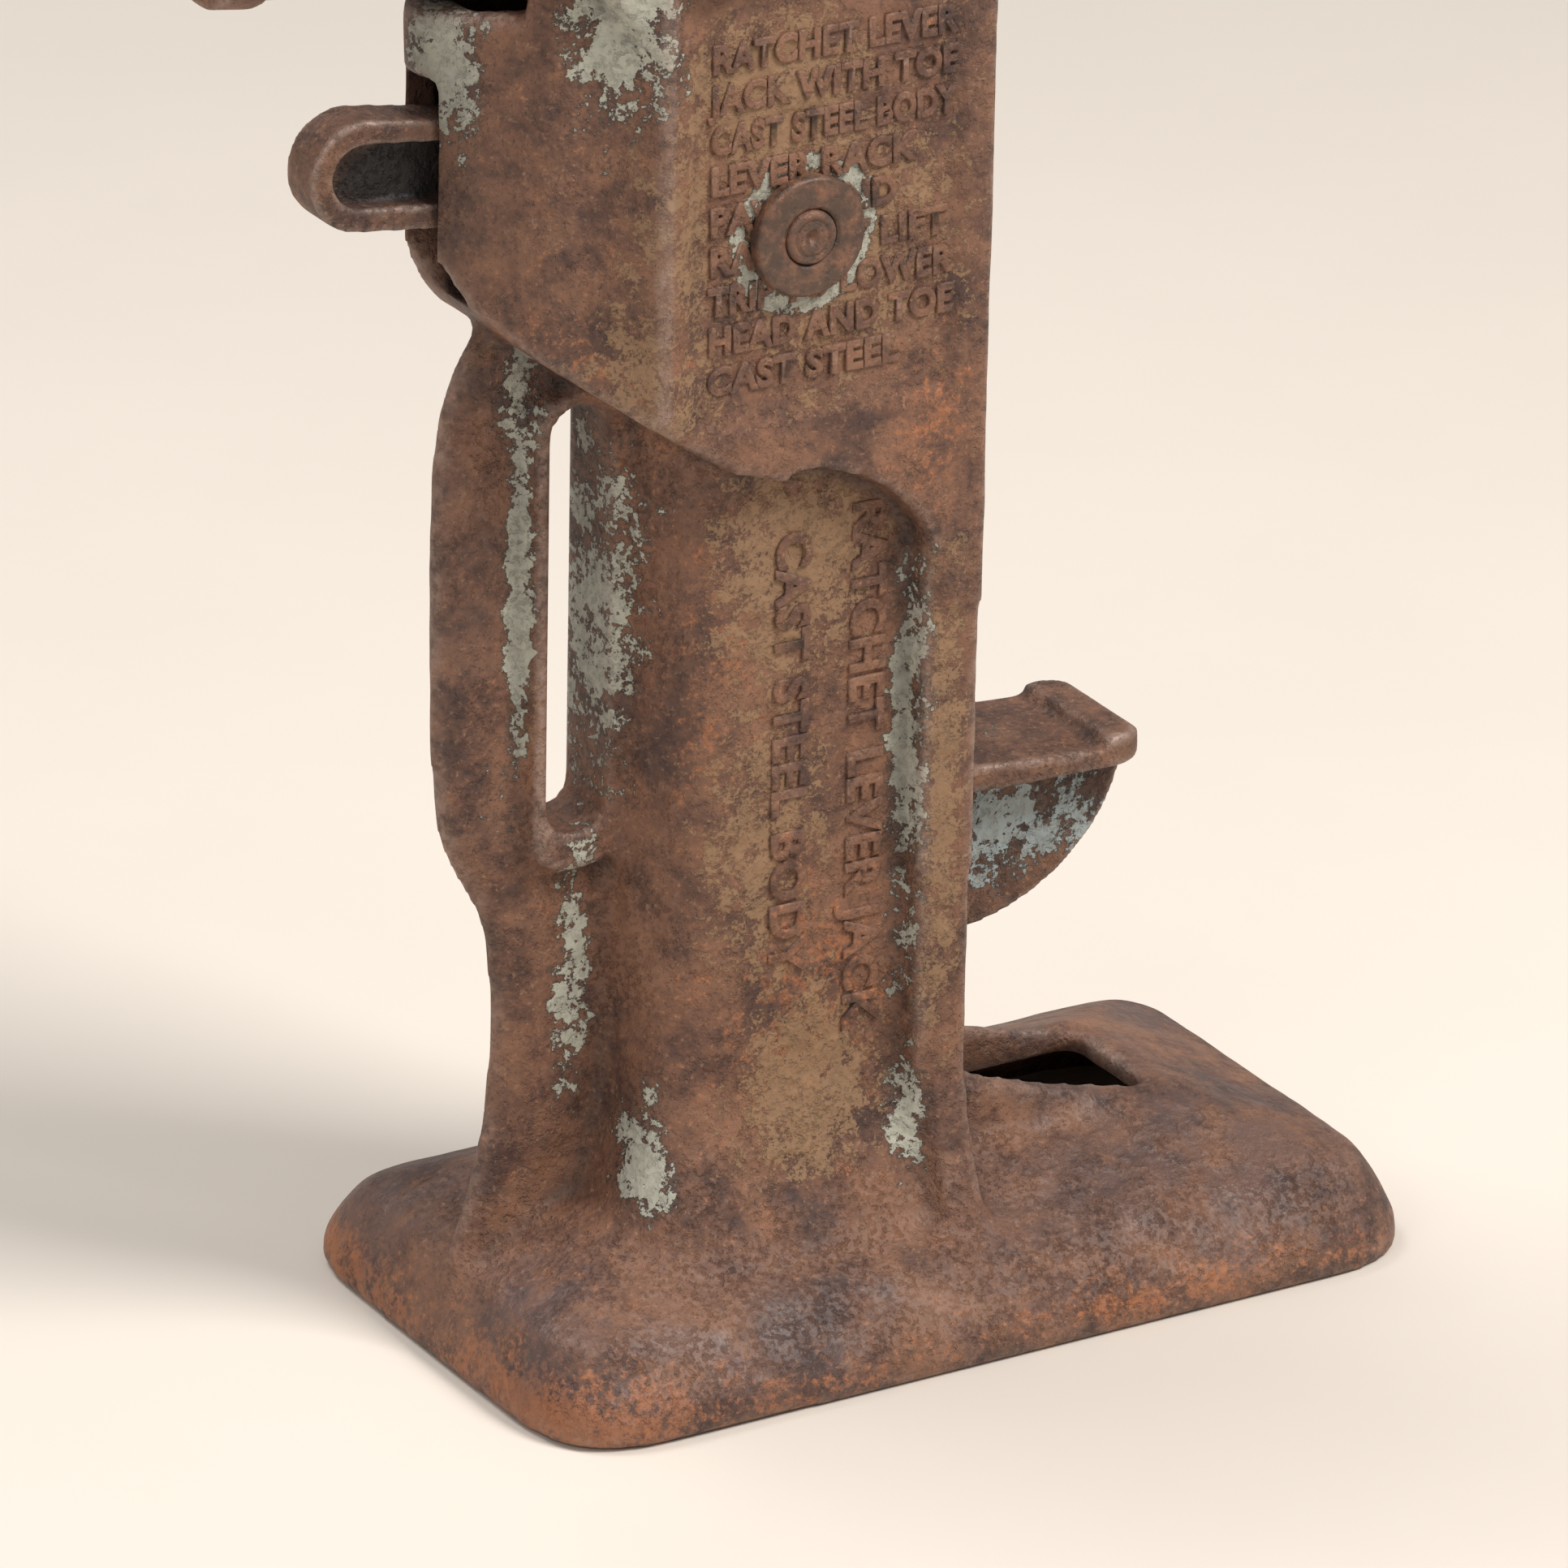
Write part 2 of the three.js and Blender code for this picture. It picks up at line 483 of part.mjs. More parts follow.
// A pawl drawn engaged, with its nose in the gap at the given root, then swung back about
// its pin.
function makePawl(pivot, root) {
  const { hub } = pivot;
  const nose = RACK.rear - 1.4;
  const outline = rounded([
    [pivot.x - hub, pivot.z + 1, 6], [pivot.x - 5, pivot.z + 14, 8], [nose - 12, root + 3, 5],
    [nose - 7.6, root + 6.4, 1.5], [nose, root + 0.3, 0.4], [nose, root - 0.9, 0.4],
    [nose - 5.8, root - 5.6, 2], [pivot.x + hub, pivot.z + 3, 8], [pivot.x + hub - 2, pivot.z - hub + 3, 6],
    [pivot.x, pivot.z - hub, 5], [pivot.x - hub + 2, pivot.z - hub + 3, 6],
  ], 4);
  const drawn = slabY(outline, -PAWL_HALF_WIDTH, PAWL_HALF_WIDTH);
  const body = drawn.subtract(barY(pivot.x, pivot.z, pivot.pin + RUNNING_GAP, -40, 40, 20));
  return body.translate([-pivot.x, 0, -pivot.z]).rotate([0, -PAWL_RELEASE, 0]).translate([pivot.x, 0, pivot.z]);
}

function makeTripLever() {
  const { endX, endZ, endRadius, rootX, rootZ, halfDepth, halfWidth } = TRIP;
  const { x, z, pin } = TRIP_PIVOT;
  const view = (shrink, reach) => {
    const outline = new THREE.Shape();
    outline.absarc(endX, endZ, endRadius - shrink, Math.PI * 0.46, Math.PI * 1.47, false);
    outline.lineTo(rootX + reach, rootZ - halfDepth + shrink);
    outline.lineTo(rootX + reach, rootZ + halfDepth - shrink);
    outline.closePath();
    return outline;
  };
  const arm = rounded([
    [rootX - 3, rootZ - halfDepth, 3], [x + 2, z - 12, 6], [x + 13, z - 6, 5],
    [x + 13, z + 7, 5], [x, z + 12, 6], [rootX - 3, rootZ + halfDepth, 3],
  ], 4);
  const { rim, depth, reach } = TRIP_POCKET;
  const pocket = slabY(view(rim, reach), halfWidth - depth, halfWidth + 3, 8);
  const body = join(slabY(view(0, 0), -halfWidth, halfWidth, 10), slabY(arm, -halfWidth, halfWidth));
  return cut(body, bothSides(pocket), barY(x, z, pin + RUNNING_GAP, -40, 40, 18));
}

// ---- pins, collars and springs ----

const plainPin = (pivot, halfLength) => barY(pivot.x, pivot.z, pivot.pin, -halfLength, halfLength, 18);

function makePin(pivot, halfLength, sides) {
  const body = barY(pivot.x, pivot.z, pivot.pin, -halfLength, halfLength, sides);
  const dimple = new THREE.ConeGeometry(pivot.pin * 0.3, 2, 12);
  const near = solid(dimple.translate(pivot.x, 0.6 - halfLength, pivot.z));
  return cut(body, near, mirrored(near));
}

function makeCollar(pivot, face) {
  const { thick, chamferStart, chamferEnd, chamfer, seat } = COLLAR;
  const bore = pivot.pin + RUNNING_GAP;
  const radius = pivot.collar;
  const profile = [[bore, 0], [radius, 0], [radius, chamferStart], [radius - chamfer, chamferEnd], [bore, thick]];
  const ring = profile.map(([r, y]) => new THREE.Vector2(r, y));
  ring.push(ring[0].clone());
  return solid(new THREE.LatheGeometry(ring, 32)).translate([pivot.x, face + seat, pivot.z]);
}

// A wound torsion spring around a pin, with one straight leg at each end.
function makeSpring(pivot, { coil, start, legAngle }) {
  const { wire, gap, turns, legReach, stepsPerTurn } = SPRING;
  const rise = wire * 2 + gap;
  const points = [];
  const spoke = angle => new THREE.Vector3(Math.cos(angle), 0, Math.sin(angle));
  for (let i = 0; i <= stepsPerTurn * turns; i += 1) {
    const turn = i / stepsPerTurn;
    points.push(spoke(turn * 2 * Math.PI).multiplyScalar(coil).setY(start + rise * turn));
  }
  points.unshift(spoke(-legAngle).multiplyScalar(coil + legReach).setY(start));
  points.push(spoke(legAngle).multiplyScalar(coil + legReach).setY(start + rise * turns));
  const path = new THREE.CatmullRomCurve3(points.map(p => p.add(new THREE.Vector3(pivot.x, 0, pivot.z))));
  const section = new THREE.Shape();
  section.absarc(0, 0, wire, 0, 2 * Math.PI);
  const steps = stepsPerTurn * turns + 6;
  return solid(new THREE.ExtrudeGeometry(
    section, { steps, bevelEnabled: false, extrudePath: path, curveSegments: 3 }));
}

function makeHeadPin() {
  const { rise, radius, halfLength } = HEAD_PIN;
  return barY(HEAD_X, HEAD_Z + rise, radius, -halfLength, halfLength, 12);
}

// The screw through the far side that keeps the rack from being drawn out.
function makeStopScrew() {
  const { x, z, radius, head, inner, outer } = STOP_SCREW;
  const headBase = BOX.halfWidth + 0.5;
  return join(barY(x, z, radius, inner, headBase + 0.5, 14), barY(x, z, head, headBase, outer, 6));
}

function stopScrewBore() {
  const { x, z, radius } = STOP_SCREW;
  return barY(x, z, radius + 0.4, 20, BOX.halfWidth + 2, 14);
}

// ---- assembly ----

function mesh(name, part, material) {
  const { vertProperties, triVerts } = part.getMesh();
  const geometry = new THREE.BufferGeometry();
  geometry.setAttribute('position', new THREE.BufferAttribute(vertProperties, 3));
  geometry.setIndex(new THREE.BufferAttribute(triVerts, 1));
  const made = new THREE.Mesh(geometry, material);
  made.name = name;
  return made;
}

const panelFace = BOX.halfWidth - PANEL.depth;
const boxFace = BOX.halfWidth;
const liftRoot = TOOTH.datum + 8 * PITCH;

const jack = new THREE.Group();
jack.add(mesh('housing', makeHousing(), CASTING));
jack.add(mesh('rack_bar', makeRackWithSpigot(), CASTING));
jack.add(mesh('head_cap', makeHeadCap(), CASTING));
jack.add(mesh('head_cap_pin', makeHeadPin(), STEEL));
jack.add(mesh('rack_stop_screw', makeStopScrew(), STEEL));
jack.add(mesh('lever_socket', leverSocket(), CASTING));
jack.add(mesh('lever_bar_screw', makeSocketScrew(), STEEL));
jack.add(mesh('fulcrum_pin', makePin(FULCRUM, PIN_HALF_LENGTH.fulcrum, 28), STEEL));
jack.add(mesh('fulcrum_collar_far', makeCollar(FULCRUM, boxFace), STEEL));
jack.add(mesh('fulcrum_collar_near', mirrored(makeCollar(FULCRUM, boxFace)), STEEL));
jack.add(mesh('pawl_pin', makePin(PAWL_PIVOT, PIN_HALF_LENGTH.pawl, 24), STEEL));
jack.add(mesh('pawl_collar_far', makeCollar(PAWL_PIVOT, panelFace), STEEL));
jack.add(mesh('pawl_collar_near', mirrored(makeCollar(PAWL_PIVOT, panelFace)), STEEL));
jack.add(mesh('holding_pawl', makePawl(PAWL_PIVOT, TOOTH.datum), BRIGHT));
jack.add(mesh('holding_pawl_spring', makeSpring(PAWL_PIVOT, PAWL_SPRING), BRIGHT));
jack.add(mesh('lift_pawl', makePawl(LIFT_PIVOT, liftRoot), BRIGHT));
jack.add(mesh('lift_pawl_pin', plainPin(LIFT_PIVOT, PIN_HALF_LENGTH.liftPawl), STEEL));
jack.add(mesh('trip_lever', makeTripLever(), CASTING));
jack.add(mesh('trip_pin', plainPin(TRIP_PIVOT, PIN_HALF_LENGTH.trip), STEEL));
jack.add(mesh('trip_spring', makeSpring(TRIP_PIVOT, TRIP_SPRING), BRIGHT));
jack.position.x = -OBJECT_CENTRE_X;

const object = new THREE.Group();
object.add(jack);

export default object;
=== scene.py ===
"""A ratchet lever jack with a lifting toe, dressed as an old casting with rust and the last of its paint."""

import math

import bmesh
import bpy
import numpy as np
from bpy.props import FloatProperty, FloatVectorProperty, IntProperty, PointerProperty
from mathutils import Matrix, Vector, noise


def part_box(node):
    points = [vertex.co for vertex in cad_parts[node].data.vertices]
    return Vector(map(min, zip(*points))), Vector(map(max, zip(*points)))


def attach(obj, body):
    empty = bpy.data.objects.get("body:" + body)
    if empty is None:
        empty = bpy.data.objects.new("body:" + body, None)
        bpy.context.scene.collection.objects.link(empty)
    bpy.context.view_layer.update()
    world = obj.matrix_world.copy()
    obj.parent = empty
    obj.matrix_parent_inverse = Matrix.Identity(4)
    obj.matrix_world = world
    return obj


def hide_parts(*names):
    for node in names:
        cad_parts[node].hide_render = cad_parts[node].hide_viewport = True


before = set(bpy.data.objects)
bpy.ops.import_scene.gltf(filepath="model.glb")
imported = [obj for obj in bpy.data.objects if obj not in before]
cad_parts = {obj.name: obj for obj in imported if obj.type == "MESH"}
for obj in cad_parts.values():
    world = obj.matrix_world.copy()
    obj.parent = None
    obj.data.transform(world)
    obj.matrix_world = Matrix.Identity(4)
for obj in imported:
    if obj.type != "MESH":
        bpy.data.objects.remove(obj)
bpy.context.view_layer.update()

bl_info = {
    "name": "Ratchet Lever Jack",
    "version": (1, 0, 0),
    "blender": (4, 5, 0),
    "location": "3D View > Sidebar > Lever Jack",
    "description": "Dresses a ratchet lever jack as an old, rusted casting",
    "category": "Object",
}

MM = 0.001
NEAR = -1
FAR = 1

# Points closer than this, in metres, are joined: on the frame's meshes, and on meshes made here.
FRAME_WELD = 2e-6
OWN_WELD = 1e-6


def box_mm(node):
    """A node's lowest and highest corners, in millimetres."""
    low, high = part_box(node)
    return Vector(low) / MM, Vector(high) / MM


def box_centre(node):
    """The middle of a node's box, in millimetres."""
    low, high = box_mm(node)
    return (low + high) / 2


FULCRUM = box_centre("fulcrum_pin")
PAWL_PIVOT = box_centre("pawl_pin")

# --------------------------------------------------------------------------- settings


class CastingSettings(bpy.types.PropertyGroup):
    """Sizes and colours of the rusted castings."""

    housing_grid: FloatProperty(
        name="Housing Grid",
        description="Spacing of the housing's surface points",
        default=0.0025,
        unit="LENGTH",
    )
    rack_grid: FloatProperty(
        name="Rack Grid", description="Spacing of the rack's surface points", default=0.0014, unit="LENGTH"
    )
    fitting_grid: FloatProperty(
        name="Fitting Grid",
        description="Spacing of the small castings' surface points",
        default=0.0012,
        unit="LENGTH",
    )
    lump_height: FloatProperty(
        name="Lump Height",
        description="How far the cast skin wanders in and out",
        default=0.00035,
        unit="LENGTH",
    )
    rust_dark: FloatVectorProperty(
        name="Dark Rust", description="Oldest, darkest rust", default=(0.060, 0.029, 0.023), subtype="COLOR"
    )
    rust_brown: FloatVectorProperty(
        name="Brown Rust", description="The main rust colour", default=(0.208, 0.096, 0.055), subtype="COLOR"
    )
    rust_orange: FloatVectorProperty(
        name="Orange Rust", description="Fresh rust", default=(0.45, 0.155, 0.052), subtype="COLOR"
    )
    film: FloatVectorProperty(
        name="Ochre Film",
        description="Old varnish and dust on the sheltered faces",
        default=(0.285, 0.168, 0.088),
        subtype="COLOR",
    )
    paint: FloatVectorProperty(
        name="Grey-Green Paint",
        description="The last of the paint",
        default=(0.47, 0.465, 0.385),
        subtype="COLOR",
    )
    undercoat: FloatVectorProperty(
        name="Undercoat", description="Black coat at the edges of the paint", default=(0.035, 0.032, 0.03),
        subtype="COLOR",
    )
    worn_metal: FloatVectorProperty(
        name="Worn Metal", description="Rubbed edges", default=(0.40, 0.30, 0.25), subtype="COLOR"
    )


class LetteringSettings(bpy.types.PropertyGroup):
    """Sizes of the raised lettering."""

    panel_size: FloatProperty(
        name="Panel Letters", description="Type size on the side panel", default=0.0119, unit="LENGTH"
    )
    column_size: FloatProperty(
        name="Column Letters", description="Type size down the column", default=0.0165, unit="LENGTH"
    )
    rise: FloatProperty(
        name="Rise", description="How far the letters stand up", default=0.0011, unit="LENGTH"
    )


class FittingSettings(bpy.types.PropertyGroup):
    """Sizes and colours of the pins, collars, screws, pawls and springs."""

    turning_steps: IntProperty(
        name="Turning Steps", description="Steps round a turned piece", default=64, min=12, max=128
    )
    edge_rounding: FloatProperty(
        name="Edge Rounding", description="Rounding of a forged edge", default=0.0009, unit="LENGTH"
    )
    dark_steel: FloatVectorProperty(
        name="Dark Steel",
        description="Colour of the pins and collars",
        default=(0.078, 0.052, 0.040),
        subtype="COLOR",
    )
    greased_steel: FloatVectorProperty(
        name="Greased Steel", description="Colour of the pawls and springs", default=(0.13, 0.105, 0.09),
        subtype="COLOR",
    )


class StageSettings(bpy.types.PropertyGroup):
    """Floor, light and camera."""

    floor: FloatVectorProperty(
        name="Floor", description="Colour of the floor", default=(0.76, 0.69, 0.615), subtype="COLOR"
    )
    azimuth: FloatProperty(
        name="Azimuth",
        description="Camera's turn round the jack",
        default=math.radians(-31.3),
        unit="ROTATION",
    )
    elevation: FloatProperty(
        name="Elevation",
        description="Camera's height over the horizon",
        default=math.radians(23.4),
        unit="ROTATION",
    )
    roll: FloatProperty(name="Roll", description="Camera's roll", default=math.radians(1.15), unit="ROTATION")
    distance: FloatProperty(
        name="Distance", description="Camera to the middle of the foot", default=3.612, unit="LENGTH"
    )
    focal: FloatProperty(
        name="Focal Length", description="Lens on a 36 mm wide sensor, in millimetres", default=260.87
    )


# --------------------------------------------------------------------------- mesh helpers


def link_object(name, mesh):
    """A new object of that mesh in the scene."""
    made = bpy.data.objects.new(name, mesh)
    bpy.context.scene.collection.objects.link(made)
    return made


def merged_copy(node):
    """A copy of a frame node's mesh with its loose triangles joined into one skin."""
    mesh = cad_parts[node].data.copy()
    mesh.materials.clear()
    bm = bmesh.new()
    bm.from_mesh(mesh)
    bmesh.ops.remove_doubles(bm, verts=bm.verts, dist=FRAME_WELD)
    bm.to_mesh(mesh)
    bm.free()
    return mesh


def apply_modifiers(made):
    """Puts the object's modifiers into its mesh."""
    graph = bpy.context.evaluated_depsgraph_get()
    mesh = bpy.data.meshes.new_from_object(made.evaluated_get(graph), depsgraph=graph)
    made.modifiers.clear()
    old = made.data
    made.data = mesh
    bpy.data.meshes.remove(old)
    mesh.name = made.name


def regridded(name, node, grid):
    """A copy of a casting with an even surface grid."""
    made = link_object(name, merged_copy(node))
    modifier = made.modifiers.new("Even Grid", "REMESH")
    modifier.mode = "VOXEL"
    modifier.voxel_size = grid
    modifier.adaptivity = 0.0
    apply_modifiers(made)
    return made


def soften(mesh, passes, where=None):
    """Rounds a gridded mesh by averaging, passes times, at the points where picks."""
    bm = bmesh.new()
    bm.from_mesh(mesh)
    picked = [v for v in bm.verts if where is None or where(v.co)]
    for _ in range(passes):
        bmesh.ops.smooth_vert(bm, verts=picked, factor=0.5, use_axis_x=True, use_axis_y=True, use_axis_z=True)
    bm.to_mesh(mesh)
    bm.free()


def points_of(mesh):
    """Vertex places as an array, in metres."""
    flat = np.zeros(len(mesh.vertices) * 3, np.float32)
    mesh.vertices.foreach_get("co", flat)
    return flat.reshape(-1, 3).astype(np.float64)


def normals_of(mesh):
    """Vertex normals as an array."""
    flat = np.zeros(len(mesh.vertices) * 3, np.float32)
    mesh.vertex_normals.foreach_get("vector", flat)
    return flat.reshape(-1, 3).astype(np.float64)


def set_points(mesh, points):
    """Moves the vertices to these places."""
    mesh.vertices.foreach_set("co", points.astype(np.float32).ravel())
    mesh.update()


def lumps(points, size, seed):
    """Slow noise from -1 to 1 at each point, with features of that size in metres."""
    shift = Vector((seed * 3.1, seed * 1.7, seed * 2.3))
    return np.array([noise.noise(Vector(p) / size + shift) for p in points])


# Sizes of the cast skin's lumps in metres, and how high the small ones are beside the broad ones.
BROAD_LUMP = 0.021
SMALL_LUMP = 0.008
SMALL_LUMP_SHARE = 0.55


def roughen(mesh, height, share_of=None):
    """Moves the skin in and out a little, as sand moulds leave it. share_of gives each point's share."""
    points = points_of(mesh)
    amount = lumps(points, BROAD_LUMP, 1) + SMALL_LUMP_SHARE * lumps(points, SMALL_LUMP, 2)
    if share_of is not None:
        amount = amount * share_of(points)
    set_points(mesh, points + normals_of(mesh) * (amount * height)[:, None])


def shade_smooth(mesh):
    """Smooth shading on every face."""
    mesh.polygons.foreach_set("use_smooth", [True] * len(mesh.polygons))
    mesh.update()


def edge_ends(mesh):
    """The two vertex indices of every edge."""
    flat = np.zeros(len(mesh.edges) * 2, np.int32)
    mesh.edges.foreach_get("vertices", flat)
    return flat.reshape(-1, 2)


def neighbour_mean(values, ends, degree):
    """The mean of each vertex's neighbours."""
    total = np.zeros_like(values)
    np.add.at(total, ends[:, 0], values[ends[:, 1]])
    np.add.at(total, ends[:, 1], values[ends[:, 0]])
    return total / (degree[:, None] if values.ndim > 1 else degree)


def surface_bend(mesh, passes):
    """How far each point stands out from the skin around it: above 0 on an edge, below 0 in a corner."""
    points = points_of(mesh)
    ends = edge_ends(mesh)
    degree = np.maximum(np.bincount(ends.ravel(), minlength=len(points)), 1).astype(float)
    step = np.linalg.norm(points[ends[:, 0]] - points[ends[:, 1]], axis=1).mean()
    bend = -((neighbour_mean(points, ends, degree) - points) * normals_of(mesh)).sum(1) / step
    for _ in range(passes):
        bend = 0.5 * bend + 0.5 * neighbour_mean(bend, ends, degree)
    return bend


def smoothstep(low, high, values):
    """0 below low and 1 above high, with a soft rise between."""
    t = np.clip((values - low) / (high - low), 0, 1)
    return t * t * (3 - 2 * t)


def store(mesh, name, values):
    """Writes one number for each vertex under that name."""
    layer = mesh.attributes.new(name, "FLOAT", "POINT")
    layer.data.foreach_set("value", np.clip(values, 0, 1).astype(np.float32))


# --------------------------------------------------------------------------- where each finish lies

# Each patch: middle x, y, z, then its reach along x, y, z, all in millimetres, then its strength.
PAINT_PATCHES = (
    (-72, -24, 128, 9, 30, 62, 1.05),
    (-60, -34, 66, 8, 18, 30, 0.95),
    (28, -39, 190, 8, 14, 95, 0.85),
    (28, -42, 62, 10, 12, 36, 0.9),
    (-122, -12, 438, 12, 18, 46, 0.95),
    (-80, -46, 444, 20, 20, 36, 1.0),
    (-60, -2, 246, 12, 30, 80, 0.8),
    (-92, -8, 250, 5, 8, 70, 1.0),
    (-92, -10, 318, 9, 10, 22, 1.0),
    (-98, 0, 190, 14, 26, 20, 0.35),
    (-64, 30, 120, 16, 26, 70, 0.8),
    (29, 40, 150, 9, 14, 110, 0.75),
    (-80, 44, 430, 34, 16, 60, 0.8),
    (-20, 52, 500, 60, 10, 34, 0.4),
    (40, 0, 20, 26, 30, 20, 0.3),
    (84, 0, 142, 50, 18, 24, 1.35),
)
FILM_PATCHES = (
    (-30, -48, 418, 44, 8, 34, 1.0),
    (-5, -48, 365, 62, 8, 66, 0.80),
    (-62, -44, 380, 18, 14, 66, 0.95),
    (-66, -42, 330, 30, 18, 44, 0.85),
    (-12, -38, 262, 40, 10, 60, 0.90),
    (-22, -38, 170, 40, 12, 80, 0.72),
    (-6, -40, 80, 34, 16, 50, 0.95),
    (36, -46, 180, 12, 10, 140, 0.85),
    (30, -50, 420, 10, 10, 60, 0.6),
    (-92, -15, 240, 12, 12, 80, 0.6),
    (-20, 46, 380, 60, 12, 80, 0.7),
    (-20, 38, 180, 50, 14, 110, 0.6),
    (-90, -20, 360, 26, 20, 50, 0.35),
    (80, 0, 128, 70, 30, 24, 0.55),
)
ORANGE_PATCHES = (
    (-110, -60, 8, 60, 60, 14, 1.0),
    (-60, -92, 6, 90, 10, 12, 0.55),
    (110, -90, 8, 110, 12, 14, 0.5),
    (30, -44, 300, 16, 14, 26, 0.6),
    (-6, -40, 110, 30, 14, 50, 0.5),
    (-40, -38, 230, 16, 10, 60, 0.35),
    (-96, -40, 20, 20, 14, 20, 0.5),
    (-80, -24, 330, 34, 30, 30, 0.4),
    (-110, 60, 8, 60, 60, 14, 0.8),
    (120, 90, 8, 110, 14, 14, 0.6),
    (0, 40, 120, 50, 16, 80, 0.4),
    (190, 0, 8, 14, 90, 14, 0.5),
)
# Rubbed patches on the foot and the housing: the iron is smoother there, and a slate colour is painted on as
# a painted sheen that stands in for reflected light.
SHEEN_PATCHES = (
    (-104, -48, 24, 26, 34, 26, 0.9),
    (-50, -76, 22, 60, 22, 22, 0.7),
    (130, -50, 34, 70, 44, 26, 0.9),
    (130, 50, 34, 70, 44, 26, 0.8),
    (44, -46, 36, 12, 12, 34, 0.9),
    (-104, 48, 24, 26, 34, 26, 0.8),
    (-108, -16, 280, 14, 16, 60, 0.5),
    (-124, 0, 400, 20, 30, 60, 0.3),
)
# Painted shadow: near-black colour laid where only shade falls, in the trip lever's pocket, beside the trip
# lever, inside the mechanism box and low at the foot's front.
PAINTED_SHADOW_PATCHES = (
    (-128, 0, 396, 29, 5.4, 14, 1.0),
    (-106, 0, 394, 9, 14, 26, 0.7),
    (-60, 0, 400, 70, 27, 90, 0.75),
    (60, 0, 20, 60, 30, 30, 0.5),
)
# Paint left round the pawl pin's collars, in millimetres, with its strength on each side.
COLLAR_RING = {"radius": 22.5, "width": 4.5, "face": 48, "depth": 12, "near": 0.9, "far": 0.6}


def patch_strength(points_mm, patches):
    """The strongest patch at each point."""
    total = np.zeros(len(points_mm))
    for x, y, z, reach_x, reach_y, reach_z, strength in patches:
        away = (points_mm - np.array([x, y, z])) / np.array([reach_x, reach_y, reach_z])
        total = np.maximum(total, strength * np.exp(-(away**2).sum(1)))
    return total


def ring_strength(points_mm, centre, side):
    """A ring of paint left round a collar's edge on one side of the housing."""
    out = np.hypot(points_mm[:, 0] - centre.x, points_mm[:, 2] - centre.z)
    ring = np.exp(-(((out - COLLAR_RING["radius"]) / COLLAR_RING["width"]) ** 2))
    face = np.exp(-(((points_mm[:, 1] - side * COLLAR_RING["face"]) / COLLAR_RING["depth"]) ** 2))
    return ring * face


def lay_finishes(mesh, wear=1.0, paint=1.0, film=1.0, bend_passes=2, edge=(0.025, 0.12)):
    """Stores where wear, painted shade in hollows and creases, paint, film, fresh rust, rubbed patches with
    their painted sheen, and painted shadow lie on a casting.
    """
    points_mm = points_of(mesh) / MM
    bend = surface_bend(mesh, bend_passes)
    store(mesh, "edge_wear", wear * smoothstep(edge[0], edge[1], bend))
    # Painted shade: hollows and creases, found from the surface's bend, are darkened in colour where shade
    # falls.
    store(mesh, "painted_crease_shade", smoothstep(edge[0], edge[1], -bend))
    rings = COLLAR_RING["near"] * ring_strength(points_mm, PAWL_PIVOT, NEAR)
    rings = rings + COLLAR_RING["far"] * ring_strength(points_mm, PAWL_PIVOT, FAR)
    store(mesh, "paint_left", paint * np.maximum(patch_strength(points_mm, PAINT_PATCHES), rings))
    store(mesh, "ochre_film", film * patch_strength(points_mm, FILM_PATCHES))
    store(mesh, "fresh_rust", patch_strength(points_mm, ORANGE_PATCHES))
    # Rubbed patches: smoother, less pitted iron, and the mask of the painted sheen.
    store(mesh, "rubbed", patch_strength(points_mm, SHEEN_PATCHES))
    # Painted shadow, from the patches above.
    store(mesh, "painted_shadow", patch_strength(points_mm, PAINTED_SHADOW_PATCHES))


# --------------------------------------------------------------------------- shader helpers


class Nodes:
    """Short ways to add nodes to a tree and join them."""

    def __init__(self, tree):
        self.tree = tree

    def join(self, value, socket):
        """Feeds a socket from another socket, or sets it."""
        if isinstance(value, bpy.types.NodeSocket):
            self.tree.links.new(value, socket)
        elif hasattr(value, "__len__"):
            values = tuple(value)
            socket.default_value = values + (1.0,) if socket.type == "RGBA" and len(values) == 3 else values
        else:
            socket.default_value = value

    def add(self, kind, **inputs):
        """Adds a node; a name of an input takes _ for each space."""
        made = self.tree.nodes.new(kind)
        for key, value in inputs.items():
            self.join(value, made.inputs[key.replace("_", " ")])
        return made

    def math(self, operation, a, b=0.0, clamp=False):
        """One arithmetic step."""
        made = self.tree.nodes.new("ShaderNodeMath")
        made.operation = operation
        made.use_clamp = clamp
        self.join(a, made.inputs[0])
        self.join(b, made.inputs[1])
        return made.outputs[0]

    def noise(self, vector, scale, detail=4.0, roughness=0.55, distortion=0.0):
        """Noise between 0 and 1."""
        made = self.add(
            "ShaderNodeTexNoise",
            Vector=vector,
            Scale=scale,
            Detail=detail,
            Roughness=roughness,
            Distortion=distortion,
        )
        return made.outputs["Fac"]

    def rise(self, value, low, high, start=0.0, end=1.0):
        """A soft step from start to end as value goes from low to high."""
        made = self.tree.nodes.new("ShaderNodeMapRange")
        made.interpolation_type = "SMOOTHSTEP"
        for socket, number in zip(made.inputs, (value, low, high, start, end)):
            self.join(number, socket)
        return made.outputs[0]

    def blend(self, factor, a, b, way="MIX"):
        """Mixes two colours."""
        made = self.tree.nodes.new("ShaderNodeMix")
        made.data_type = "RGBA"
        made.blend_type = way
        self.join(factor, made.inputs[0])
        self.join(a, made.inputs[6])
        self.join(b, made.inputs[7])
        return made.outputs[2]

    def attribute(self, name):
        """A number stored on the mesh."""
        made = self.tree.nodes.new("ShaderNodeAttribute")
        made.attribute_name = name
        return made.outputs["Fac"]

    def place(self):
        """Object coordinates."""
        return self.tree.nodes.new("ShaderNodeTexCoord").outputs["Object"]

    def use(self, group, **inputs):
        """Places a node group."""
        made = self.tree.nodes.new("ShaderNodeGroup")
        made.node_tree = group
        for key, value in inputs.items():
            self.join(value, made.inputs[key.replace("_", " ")])
        return made


